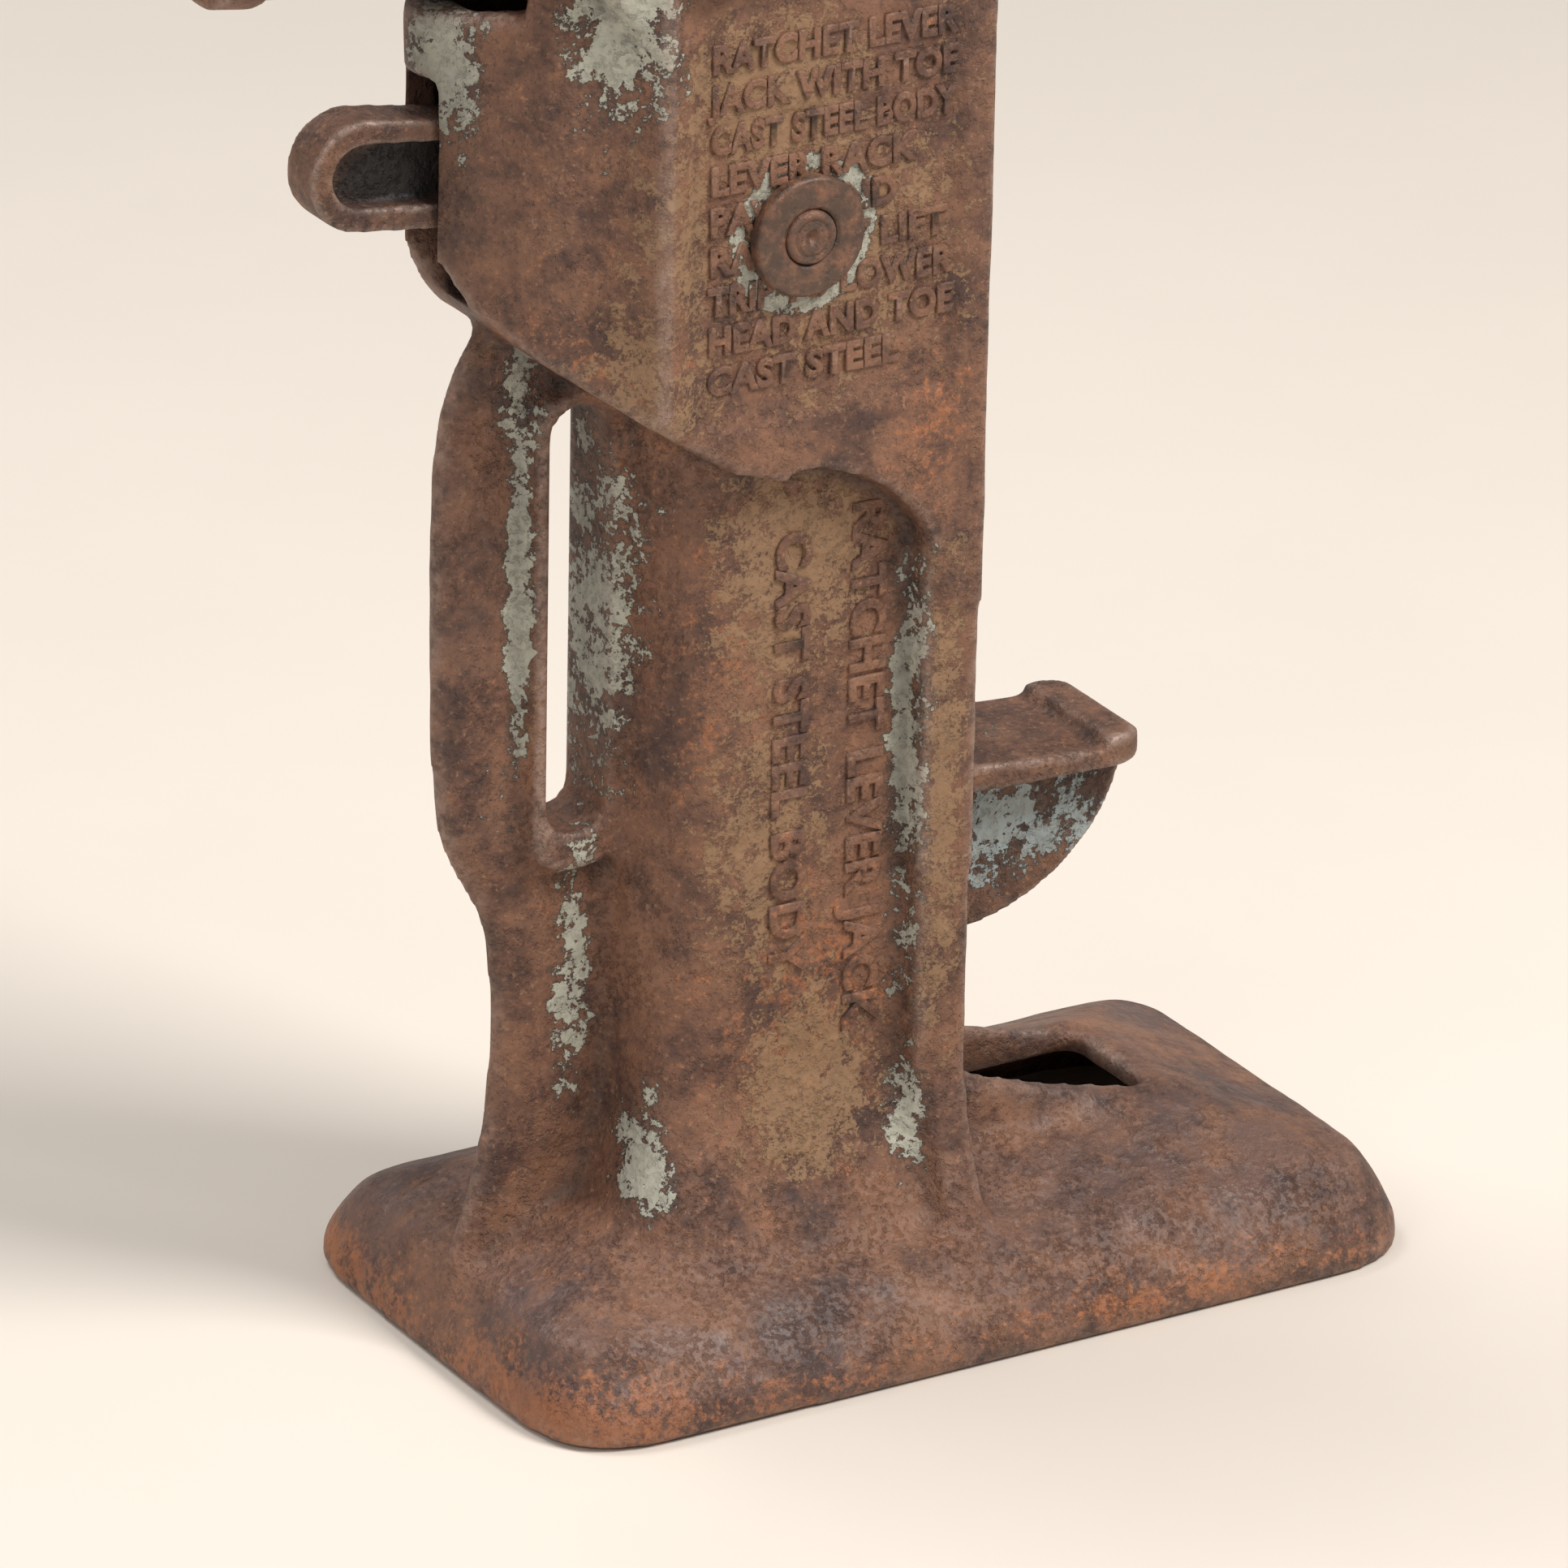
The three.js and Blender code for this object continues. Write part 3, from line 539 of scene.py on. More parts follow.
def new_group(name, inputs, outputs):
    """An empty shader group with these sockets: (kind, name, default) each."""
    group = bpy.data.node_groups.new(name, "ShaderNodeTree")
    for kind, label, default in inputs:
        socket = group.interface.new_socket(label, in_out="INPUT", socket_type="NodeSocket" + kind)
        if default is not None:
            socket.default_value = default
    for kind, label in outputs:
        group.interface.new_socket(label, in_out="OUTPUT", socket_type="NodeSocket" + kind)
    n = Nodes(group)
    entry = group.nodes.new("NodeGroupInput").outputs
    leave = group.nodes.new("NodeGroupOutput").inputs
    return group, n, entry, leave


# Tones that stay the same whatever colours the settings ask for.
WARM_RUST = (0.30, 0.145, 0.080)
DUSTY_RUST = (0.34, 0.215, 0.135)
RUST_PIT = (0.045, 0.028, 0.025)
# Painted sheen: a slate colour standing in for light reflected off the rubbed faces.
PAINTED_SHEEN_SLATE = (0.105, 0.066, 0.060)
WEATHERED_PAINT = (0.27, 0.255, 0.205)
# Painted shade laid into the colour of hollows and creases on the castings.
PAINTED_HOLLOW_SHADE = (0.030, 0.019, 0.016)
# Painted shade laid into the colour of hollows and creases on the steel pieces.
STEEL_PAINTED_HOLLOW_SHADE = (0.035, 0.026, 0.022)
# Painted shadow: near-black colour for places where only shade falls.
PAINTED_SHADOW_BLACK = (0.008, 0.006, 0.006)
TOE_PAINT = (0.33, 0.385, 0.385)


def make_rust_group():
    """Mottled rust: old dark patches, the main brown, and fresh orange where it is called for."""
    group, n, entry, leave = new_group(
        "Rust Mottle",
        (
            ("Vector", "Place", None),
            ("Color", "Dark", (0.08, 0.04, 0.03, 1)),
            ("Color", "Brown", (0.2, 0.1, 0.07, 1)),
            ("Color", "Orange", (0.4, 0.14, 0.05, 1)),
            ("Float", "Fresh", 0.0),
        ),
        (("Color", "Color"), ("Float", "Crust")),
    )
    place = entry["Place"]
    broad = n.noise(place, 24.0, 3.0, 0.5)
    middle = n.noise(place, 105.0, 6.0, 0.68)
    fine = n.noise(place, 480.0, 4.0, 0.68)
    specks = n.noise(place, 1250.0, 2.0, 0.6)
    tone = n.math("ADD", n.math("MULTIPLY", broad, 0.40), n.math("MULTIPLY", middle, 0.45))
    tone = n.math("ADD", tone, n.math("MULTIPLY", fine, 0.15))
    colour = n.blend(n.rise(tone, 0.38, 0.60), entry["Dark"], entry["Brown"])
    warm = n.rise(n.noise(place, 44.0, 4.0, 0.6), 0.45, 0.62, 0.0, 0.45)
    colour = n.blend(warm, colour, WARM_RUST)
    colour = n.blend(n.rise(fine, 0.56, 0.72, 0.0, 0.55), colour, DUSTY_RUST)
    colour = n.blend(n.rise(specks, 0.60, 0.70, 0.0, 0.75), colour, RUST_PIT)
    call = n.math("MULTIPLY", entry["Fresh"], 0.24)
    level = n.math("ADD", n.math("MULTIPLY", middle, 0.45), n.math("MULTIPLY", fine, 0.55))
    fresh = n.rise(n.math("ADD", level, call), 0.575, 0.70)
    colour = n.blend(n.math("MULTIPLY", fresh, 0.6), colour, entry["Orange"])
    n.join(colour, leave["Color"])
    n.join(n.math("ADD", n.math("MULTIPLY", fine, 0.6), n.math("MULTIPLY", specks, 0.4)), leave["Crust"])
    return group


def make_flake_group():
    """A coat that has flaked: what is left of it, and the dark rim round what is left."""
    group, n, entry, leave = new_group(
        "Flaking Coat",
        (("Vector", "Place", None), ("Float", "Left", 0.5), ("Float", "Size", 120.0), ("Float", "Rim", 0.05)),
        (("Float", "Coat"), ("Float", "Edge")),
    )
    wide = n.noise(entry["Place"], entry["Size"], 5.0, 0.6, 0.25)
    chips = n.noise(entry["Place"], n.math("MULTIPLY", entry["Size"], 4.6), 4.0, 0.68)
    level = n.math("ADD", n.math("MULTIPLY", wide, 0.52), n.math("MULTIPLY", chips, 0.48))
    level = n.math("ADD", level, n.math("MULTIPLY", entry["Left"], 0.36))
    n.join(n.rise(level, 0.715, 0.735), leave["Coat"])
    lower = n.math("SUBTRACT", 0.705, entry["Rim"])
    n.join(n.rise(level, lower, 0.71), leave["Edge"])
    return group


def make_grain_group():
    """The pitted grain of a sand casting as a normal."""
    group, n, entry, leave = new_group(
        "Cast Grain",
        (
            ("Vector", "Place", None),
            ("Float", "Pitting", 1.0),
            ("Float", "Extra", 0.0),
            ("Float", "Depth", 0.0006),
        ),
        (("Vector", "Normal"),),
    )
    rolling = n.noise(entry["Place"], 150.0, 5.0, 0.62)
    pits = n.rise(n.noise(entry["Place"], 430.0, 4.0, 0.65), 0.30, 0.52)
    grain = n.noise(entry["Place"], 1300.0, 3.0, 0.7)
    patchy = n.rise(n.noise(entry["Place"], 55.0, 3.0, 0.6), 0.35, 0.65, 0.35, 1.0)
    height = n.math("ADD", n.math("MULTIPLY", rolling, 0.62), n.math("MULTIPLY", pits, 0.34))
    height = n.math("ADD", height, n.math("MULTIPLY", grain, 0.16))
    height = n.math("MULTIPLY", height, patchy)
    height = n.math("ADD", n.math("MULTIPLY", height, entry["Pitting"]), entry["Extra"])
    bump = n.add("ShaderNodeBump", Strength=1.0, Distance=entry["Depth"], Height=height)
    n.join(bump.outputs[0], leave["Normal"])
    return group


def make_wear_group():
    """Rubbed edges, broken up by a fine noise."""
    group, n, entry, leave = new_group(
        "Edge Wear",
        (("Vector", "Place", None), ("Float", "Wear", 0.0), ("Float", "Amount", 1.0)),
        (("Float", "Mask"),),
    )
    broken = n.noise(entry["Place"], 210.0, 5.0, 0.65)
    level = n.math("MULTIPLY", entry["Wear"], n.rise(broken, 0.34, 0.66, 0.25, 1.0))
    n.join(n.math("MULTIPLY", level, entry["Amount"], clamp=True), leave["Mask"])
    return group


GROUPS = {}


def shared_groups():
    """The node groups, made once."""
    if not GROUPS:
        GROUPS.update(
            rust=make_rust_group(),
            flakes=make_flake_group(),
            grain=make_grain_group(),
            wear=make_wear_group(),
        )
    return GROUPS


def new_material(name):
    """A material with its shader and output, and helpers for the rest."""
    made = bpy.data.materials.new(name)
    made.use_nodes = True
    n = Nodes(made.node_tree)
    shader = next(x for x in made.node_tree.nodes if x.type == "BSDF_PRINCIPLED")
    return made, n, shader


def casting_material(name, tint=1.0, paint=None, wear_amount=0.55, roughness=0.47, grain_depth=0.0019):
    """Rusted cast iron with an ochre film, flaking paint, fresh rust and rubbed edges."""
    s = bpy.context.scene.jack_casting
    g = shared_groups()
    made, n, shader = new_material(name)
    place = n.place()
    dark = tuple(c * tint for c in s.rust_dark)
    brown = tuple(c * tint for c in s.rust_brown)
    fresh = n.attribute("fresh_rust")
    rust = n.use(g["rust"], Place=place, Dark=dark, Brown=brown, Orange=s.rust_orange, Fresh=fresh)
    colour = rust.outputs["Color"]

    # Painted sheen: the rubbed patches take a slate colour standing in for reflected light. The same mask
    # also lowers their roughness and pitting.
    rubbed = n.math("MULTIPLY", n.attribute("rubbed"), n.rise(n.noise(place, 60.0, 5.0, 0.6), 0.35, 0.62))
    colour = n.blend(n.math("MULTIPLY", rubbed, 0.8), colour, PAINTED_SHEEN_SLATE)

    film = n.use(g["flakes"], Place=place, Left=n.attribute("ochre_film"), Size=150.0, Rim=0.03)
    film_mask = n.math("MULTIPLY", film.outputs["Coat"], 0.82)
    colour = n.blend(film_mask, colour, s.film)

    flakes = n.use(g["flakes"], Place=place, Left=n.attribute("paint_left"), Size=88.0, Rim=0.045)
    coat = flakes.outputs["Coat"]
    colour = n.blend(n.math("MULTIPLY", flakes.outputs["Edge"], 0.60), colour, s.undercoat)
    shade = n.noise(place, 240.0, 3.0, 0.6)
    paint_colour = n.blend(n.rise(shade, 0.4, 0.7, 0.0, 0.4), paint or tuple(s.paint), WEATHERED_PAINT)
    colour = n.blend(n.math("MULTIPLY", coat, 0.94), colour, paint_colour)

    # Painted shade: darkens the colour in hollows and creases.
    colour = n.blend(n.math("MULTIPLY", n.attribute("painted_crease_shade"), 0.72), colour, PAINTED_HOLLOW_SHADE)
    wear = n.use(g["wear"], Place=place, Wear=n.attribute("edge_wear"), Amount=wear_amount).outputs["Mask"]
    colour = n.blend(wear, colour, s.worn_metal)
    # Painted shadow: near-black colour where only shade falls.
    colour = n.blend(n.rise(n.attribute("painted_shadow"), 0.12, 0.60, 0.0, 0.97), colour, PAINTED_SHADOW_BLACK)
    n.join(colour, shader.inputs["Base Color"])

    rough = n.math("ADD", roughness, n.math("MULTIPLY", rust.outputs["Crust"], 0.22))
    rough = n.math("SUBTRACT", rough, n.math("MULTIPLY", n.math("MAXIMUM", rubbed, wear), 0.24))
    rough = n.math("SUBTRACT", rough, n.math("MULTIPLY", coat, 0.10), clamp=True)
    n.join(rough, shader.inputs["Roughness"])
    n.join(n.math("MULTIPLY", wear, 0.35), shader.inputs["Metallic"])

    extra = n.math("ADD", n.math("MULTIPLY", coat, 0.20), n.math("MULTIPLY", film.outputs["Coat"], 0.08))
    pitting = n.math("SUBTRACT", 1.0, n.math("MULTIPLY", rubbed, 0.6))
    grain = n.use(g["grain"], Place=place, Pitting=pitting, Extra=extra, Depth=grain_depth)
    n.join(grain.outputs["Normal"], shader.inputs["Normal"])
    return made


def steel_material(name, colour, metallic, roughness, wear_amount, grain_depth):
    """Forged and turned steel: a dark skin, a little rust, scratches and rubbed edges."""
    s = bpy.context.scene.jack_casting
    g = shared_groups()
    made, n, shader = new_material(name)
    place = n.place()
    rust = n.use(
        g["rust"], Place=place, Dark=s.rust_dark, Brown=s.rust_brown, Orange=s.rust_orange, Fresh=0.15
    )
    cover = n.rise(n.noise(place, 150.0, 5.0, 0.62), 0.42, 0.62, 0.15, 0.85)
    base = n.blend(cover, tuple(colour), rust.outputs["Color"])
    # Painted shade: darkens the colour in hollows and creases.
    base = n.blend(n.math("MULTIPLY", n.attribute("painted_crease_shade"), 0.6), base, STEEL_PAINTED_HOLLOW_SHADE)
    wear = n.use(g["wear"], Place=place, Wear=n.attribute("edge_wear"), Amount=wear_amount).outputs["Mask"]
    base = n.blend(wear, base, s.worn_metal)
    n.join(base, shader.inputs["Base Color"])
    rough = n.math("ADD", roughness, n.math("MULTIPLY", cover, 0.28))
    n.join(n.math("SUBTRACT", rough, n.math("MULTIPLY", wear, 0.12), clamp=True), shader.inputs["Roughness"])
    bare = n.math("SUBTRACT", 1.0, cover)
    n.join(n.math("MULTIPLY", bare, metallic, clamp=True), shader.inputs["Metallic"])
    grain = n.use(g["grain"], Place=place, Pitting=1.0, Extra=0.0, Depth=grain_depth)
    n.join(grain.outputs["Normal"], shader.inputs["Normal"])
    return made


FINISHES = {}


def finish_of(kind):
    """The material of that kind, made on first use."""
    if kind in FINISHES:
        return FINISHES[kind]
    f = bpy.context.scene.jack_fittings
    makers = {
        "rusted_casting": lambda: casting_material("rusted casting"),
        "worn_casting": lambda: casting_material(
            "worn casting", tint=0.72, paint=TOE_PAINT, wear_amount=0.7, roughness=0.46, grain_depth=0.0022
        ),
        "dark_steel": lambda: steel_material("dark steel", f.dark_steel, 0.35, 0.40, 0.8, 0.0009),
        "greased_steel": lambda: steel_material("greased steel", f.greased_steel, 0.6, 0.32, 0.8, 0.0006),
    }
    FINISHES[kind] = makers[kind]()
    return FINISHES[kind]


def settle(made, body, kind, *nodes):
    """Finishes a piece: its material, the body it rides on and the frame nodes it stands for."""
    made.data.materials.clear()
    made.data.materials.append(finish_of(kind))
    shade_smooth(made.data)
    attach(made, body)
    if nodes:
        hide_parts(*nodes)


# --------------------------------------------------------------------------- castings


# Upright ribs and hollows of the skin, in millimetres: x, half width, how far out, then the z range of each.
SKIN_RIBS = (
    (-67.5, 5.0, 2.8, 300, 480),
    (-84.0, 10.0, -3.2, 320, 470),
    (-57.0, 3.0, -0.6, 322, 440),
)


def raise_ribs(mesh):
    """Lifts the rounded rib between the side panel and the bulge, and hollows the bulge beside it."""
    points = points_of(mesh)
    at = points / MM
    side = np.sign(at[:, 1]) * smoothstep(30, 40, np.abs(at[:, 1]))
    moved = np.zeros(len(at))
    for x, half, out, low, high in SKIN_RIBS:
        along = smoothstep(low, low + 25, at[:, 2]) * (1 - smoothstep(high - 20, high, at[:, 2]))
        moved += out * np.exp(-(((at[:, 0] - x) / half) ** 2)) * along
    points[:, 1] += side * moved * MM
    set_points(mesh, points)


# In metres: where the foot spreads, and the rack's channel, which keeps its machined faces.
FOOT_SPREAD_TOP = 0.150
FOOT_REAR = -0.030
FOOT_SIDE = 0.030
SOLE_HEIGHT = 0.003
CHANNEL = {"half_width": 0.033, "back": -0.100, "front": 0.046, "bottom": 0.06}


def foot_spread(co):
    """Whether a point is on the foot's spread."""
    return co.z < FOOT_SPREAD_TOP


def foot_rear_side(co):
    """Whether a point is on the foot's spread, behind and beside the column."""
    return co.z < FOOT_SPREAD_TOP and co.x < FOOT_REAR and abs(co.y) > FOOT_SIDE


def rough_share(points):
    """0 in the rack's channel and under the sole, and 1 elsewhere."""
    x, y, z = points.T
    channel = (np.abs(y) < CHANNEL["half_width"]) & (x < CHANNEL["front"]) & (x > CHANNEL["back"])
    channel &= z > CHANNEL["bottom"]
    return np.where(channel | (z < SOLE_HEIGHT), 0.0, 1.0)


def make_housing():
    """The housing: foot, column, carrying handle and mechanism box in one casting."""
    s = bpy.context.scene.jack_casting
    made = regridded("housing_casting", "housing", s.housing_grid)
    mesh = made.data
    soften(mesh, 2)
    soften(mesh, 5, foot_spread)
    soften(mesh, 4, foot_rear_side)
    raise_ribs(mesh)
    roughen(mesh, s.lump_height, rough_share)
    points = points_of(mesh)
    points[:, 2] = np.maximum(points[:, 2], 0.0)
    set_points(mesh, points)
    lay_finishes(mesh)
    settle(made, "housing", "rusted_casting", "housing")


def make_rack():
    """The toothed rack with its lifting toe."""
    s = bpy.context.scene.jack_casting
    made = regridded("rack_forging", "rack_bar", s.rack_grid)
    soften(made.data, 3)
    roughen(made.data, s.lump_height * 0.45)
    lay_finishes(made.data, wear=0.9, bend_passes=3)
    settle(made, "rack", "worn_casting", "rack_bar")


def make_small_casting(name, node, body, passes, wear=1.0):
    """One small casting from its frame node."""
    s = bpy.context.scene.jack_casting
    made = regridded(name, node, s.fitting_grid)
    soften(made.data, passes)
    roughen(made.data, s.lump_height * 0.5)
    lay_finishes(made.data, wear=wear, paint=0.0, film=0.5, bend_passes=3)
    settle(made, body, "worn_casting", node)


# --------------------------------------------------------------------------- lettering

PANEL_WORDS = (
    "RATCHET LEVER",
    "JACK WITH TOE",
    "CAST STEEL BODY",
    "LEVER RACK",
    "PAWL AND",
    "RATCHET LIFT",
    "TRIP TO LOWER",
    "HEAD AND TOE",
    "CAST STEEL",
)
# Places in millimetres. A column line reads downwards: its words, its x and its starting height.
PANEL_TEXT = {"left": -51, "top": 427.0, "pitch": 12.8, "face": -47.8, "width": 86}
COLUMN_WORDS = (("RATCHET LEVER JACK", 8, 276), ("CAST STEEL BODY", -19, 270))
COLUMN_FACE = -38.0

# How far rust moves the letters in and out, in metres.
LETTER_SINK = 0.00042


def raised_words(name, words, size, frame_matrix, width=None):
    """A line of raised letters, no wider than width. The matrix turns the writing plane into place."""
    s = bpy.context.scene.jack_lettering
    curve = bpy.data.curves.new(name, "FONT")
    curve.body = words
    curve.size = size
    curve.extrude = s.rise * 0.45
    curve.bevel_depth = s.rise * 0.5
    curve.bevel_resolution = 2
    curve.offset = size * 0.014
    curve.space_character = 1.08
    curve.resolution_u = 5
    source = link_object(name + "_source", curve)
    graph = bpy.context.evaluated_depsgraph_get()
    mesh = bpy.data.meshes.new_from_object(source.evaluated_get(graph), depsgraph=graph)
    bpy.data.objects.remove(source)
    if width:
        wide = max(v.co.x for v in mesh.vertices)
        mesh.transform(Matrix.Diagonal((min(1.0, width / wide), 1, 1, 1)))
    mesh.transform(frame_matrix)
    return link_object(name, mesh)


def wear_letters(mesh, seed):
    """Raises and sinks parts of the letters on the near face, where rust has taken them."""
    points = points_of(mesh)
    out = LETTER_SINK * (lumps(points, 0.014, seed) + 0.5 * lumps(points, 0.004, seed + 5))
    set_points(mesh, points + np.array((0, -1, 0)) * out[:, None])


def weld_letters(mesh):
    """Joins the letters' loose faces and points them outwards."""
    bm = bmesh.new()
    bm.from_mesh(mesh)
    bmesh.ops.remove_doubles(bm, verts=bm.verts, dist=OWN_WELD)
    bmesh.ops.recalc_face_normals(bm, faces=bm.faces)
    bm.to_mesh(mesh)
    bm.free()


def make_lettering():
    """Raised words on the side panel and down the column."""
    s = bpy.context.scene.jack_lettering
    lines = []
    for row, words in enumerate(PANEL_WORDS):
        x, y = PANEL_TEXT["left"] * MM, PANEL_TEXT["face"] * MM
        z = (PANEL_TEXT["top"] - row * PANEL_TEXT["pitch"]) * MM
        turn = Matrix(((1, 0, 0, x), (0, 0, -1, y), (0, 1, 0, z), (0, 0, 0, 1)))
        lines.append(("panel_words_%d" % (row + 1), words, s.panel_size, turn, PANEL_TEXT["width"] * MM))
    for row, (words, x, top) in enumerate(COLUMN_WORDS):
        turn = Matrix(((0, 1, 0, x * MM), (0, 0, -1, COLUMN_FACE * MM), (-1, 0, 0, top * MM), (0, 0, 0, 1)))
        lines.append(("column_words_%d" % (row + 1), words, s.column_size, turn, None))
    for seed, (name, words, size, turn, width) in enumerate(lines):
        made = raised_words(name, words, size, turn, width)
        weld_letters(made.data)
        wear_letters(made.data, seed)
        lay_finishes(made.data, wear=0.25, paint=0.5, film=0.5, bend_passes=0, edge=(0.1, 0.6))
        settle(made, "housing", "rusted_casting")


# --------------------------------------------------------------------------- turned and forged fittings


def turned(name, profile, centre_mm, steps):
    """Spins a profile of (radius, y) pairs in millimetres round an axis along Y."""
    bm = bmesh.new()
    verts = [bm.verts.new(((centre_mm.x + r) * MM, y * MM, centre_mm.z * MM)) for r, y in profile]
    edges = [bm.edges.new(pair) for pair in zip(verts, verts[1:])]
    closed = profile[0][0] > 0 and profile[-1][0] > 0
    if closed:
        edges.append(bm.edges.new((verts[-1], verts[0])))
    bmesh.ops.spin(
        bm,
        geom=verts + edges,
        cent=(centre_mm.x * MM, 0, centre_mm.z * MM),
        axis=(0, 1, 0),
        dvec=(0, 0, 0),
        angle=2 * math.pi,
        steps=steps,
        use_merge=True,
    )
    bmesh.ops.remove_doubles(bm, verts=bm.verts, dist=OWN_WELD)
    bmesh.ops.recalc_face_normals(bm, faces=bm.faces)
    mesh = bpy.data.meshes.new(name)
    bm.to_mesh(mesh)
    bm.free()
    return link_object(name, mesh)


# How deep the dents of turned steel are, in metres.
TURNED_DENT = 0.00012


def dress_turned(made, body, node):
    """Small dents, stored wear and the dark steel finish."""
    roughen(made.data, TURNED_DENT)
    lay_finishes(made.data, wear=1.0, paint=0.0, film=0.0, bend_passes=1, edge=(0.05, 0.3))
    settle(made, body, "dark_steel", node)


def fine_profile(corners, spacing=0.6):
    """Adds points along a profile so that no stretch is longer than spacing, in millimetres."""
    points = [corners[0]]
    for (r0, y0), (r1, y1) in zip(corners, corners[1:]):
        count = max(1, min(60, math.ceil(math.hypot(r1 - r0, y1 - y0) / spacing)))
        points += [(r0 + (r1 - r0) * k / count, y0 + (y1 - y0) * k / count) for k in range(1, count + 1)]
    return points


# A collar's gap round its pin and the rounding of its rim, in millimetres.
BORE_GAP = 0.35
RIM_ROUND = 1.5


def make_collar(node, pin):
    """A thick riveted collar with a rounded rim, dished a little to its bore."""
    s = bpy.context.scene.jack_fittings
    low, high = box_mm(node)
    centre = box_centre(node)
    side = NEAR if centre.y < 0 else FAR
    inner, outer = sorted((abs(low.y), abs(high.y)))
    radius = (high.x - low.x) / 2
    pin_low, pin_high = box_mm(pin)
    bore = (pin_high.x - pin_low.x) / 2 + BORE_GAP
    turns = [math.radians(d) for d in range(0, 91, 18)]
    rim = [(radius - RIM_ROUND * (1 - math.sin(a)), outer - RIM_ROUND * (1 - math.cos(a))) for a in turns]
    corners = [(bore, inner), (radius - 0.4, inner), (radius, inner + 0.4)]
    corners += reversed(rim)
    corners += [(radius * 0.72, outer + 0.15), (bore + 1.1, outer - 0.1), (bore, outer - 0.8)]
    profile = fine_profile([(r, side * y) for r, y in corners] + [(bore, side * inner)])[:-1]
    made = turned(node + "_ring", profile, centre, s.turning_steps)
    dress_turned(made, "housing", node)


def make_pin(name, node, body, peened):
    """A turned pin; a peened one has a ring struck round a centre dimple at each end."""
    s = bpy.context.scene.jack_fittings
    low, high = box_mm(node)
    centre = box_centre(node)
    radius = (high.x - low.x) / 2
    end = high.y
    if peened:
        tip = [(radius, end - 1.3), (radius - 0.35, end - 0.45), (radius - 1.1, end)]
        tip += [(radius * 0.72, end), (radius * 0.66, end - 0.5), (radius * 0.60, end - 0.05)]
        tip += [(radius * 0.34, end - 0.1), (radius * 0.2, end - 1.0), (0, end - 2.3)]
    else:
        tip = [(radius, end - 0.8), (radius - 0.8, end), (radius * 0.4, end + 0.05), (0, end + 0.05)]
    corners = [(r, -y) for r, y in reversed(tip)] + tip
    made = turned(name, fine_profile(corners, 0.9), centre, s.turning_steps)
    dress_turned(made, body, node)


# Faces that meet at less than FLAT are one face, and edges sharper than SHARP are rounded.
FLAT = math.radians(1.0)
SHARP = math.radians(24)


def forged_copy(name, node, body, kind):
    """A forged piece from its frame node, with rounded edges."""
    s = bpy.context.scene.jack_fittings
    made = link_object(name, merged_copy(node))
    bm = bmesh.new()
    bm.from_mesh(made.data)
    bmesh.ops.dissolve_limit(bm, angle_limit=FLAT, verts=bm.verts, edges=bm.edges)
    sharp = [e for e in bm.edges if len(e.link_faces) == 2 and e.calc_face_angle() > SHARP]
    bmesh.ops.bevel(
        bm,
        geom=sharp,
        offset=s.edge_rounding,
        offset_type="OFFSET",
        affect="EDGES",
        segments=2,
        profile=0.5,
        material=-1,
        clamp_overlap=True,
    )
    bmesh.ops.triangulate(bm, faces=[f for f in bm.faces if len(f.verts) > 4])
    bm.to_mesh(made.data)
    bm.free()
    lay_finishes(made.data, wear=0.8, paint=0.0, film=0.0, bend_passes=0, edge=(0.02, 0.2))
    settle(made, body, kind, node)


def wound_copy(name, node, body):
    """A coil spring from its frame node, with its wire made round."""
    made = link_object(name, merged_copy(node))
    modifier = made.modifiers.new("Round Wire", "SUBSURF")
    modifier.levels = 2
    modifier.render_levels = 2
    apply_modifiers(made)
    lay_finishes(made.data, wear=0.3, paint=0.0, film=0.0, bend_passes=1, edge=(0.05, 0.3))
    settle(made, body, "greased_steel", node)


# --------------------------------------------------------------------------- stage


def camera_axes(s):
    """Right, up and back directions of the camera."""
    a, e = s.azimuth, s.elevation
    back = Vector((math.sin(a) * math.cos(e), -math.cos(a) * math.cos(e), math.sin(e)))
    level = Vector((math.cos(a), math.sin(a), 0))
    raised = back.cross(level)
    right = level * math.cos(s.roll) + raised * math.sin(s.roll)
    up = raised * math.cos(s.roll) - level * math.sin(s.roll)
    return right, up, back


# The camera looks past the foot's middle by this much to its right and up, in metres.
AIM_SHIFT = (-24.34 * MM, 147.8 * MM)
FOOT_CENTRE = Vector((0.040, 0, 0))
LIT_POINT = Vector((0, 0, 0.3))

# Each light: azimuth and elevation in degrees, distance and side in metres, watts, colour.
LIGHTS = {
    "key": (36, 52, 2.6, 0.9, 66, (1.0, 0.975, 0.945)),
    "fill": (-62, 30, 3.0, 1.6, 14, (0.98, 0.98, 1.0)),
    "overhead": (-140, 62, 2.4, 0.9, 26, (1, 1, 1)),
}
SKY_COLOUR = (1.0, 0.98, 0.955, 1)
SKY_STRENGTH = 0.36
FLOOR_REACH = 8.0


def make_camera():
    """The camera, looking down on the near side from the handle's end."""
    s = bpy.context.scene.jack_stage
    right, up, back = camera_axes(s)
    data = bpy.data.cameras.new("jack camera")
    data.sensor_width = 36
    data.lens = s.focal
    data.clip_end = 60
    camera = bpy.data.objects.new("jack camera", data)
    bpy.context.scene.collection.objects.link(camera)
    place = FOOT_CENTRE + right * AIM_SHIFT[0] + up * AIM_SHIFT[1] + back * s.distance
    turn = Matrix((right, up, back)).transposed().to_4x4()
    camera.matrix_world = Matrix.Translation(place) @ turn
    bpy.context.scene.camera = camera


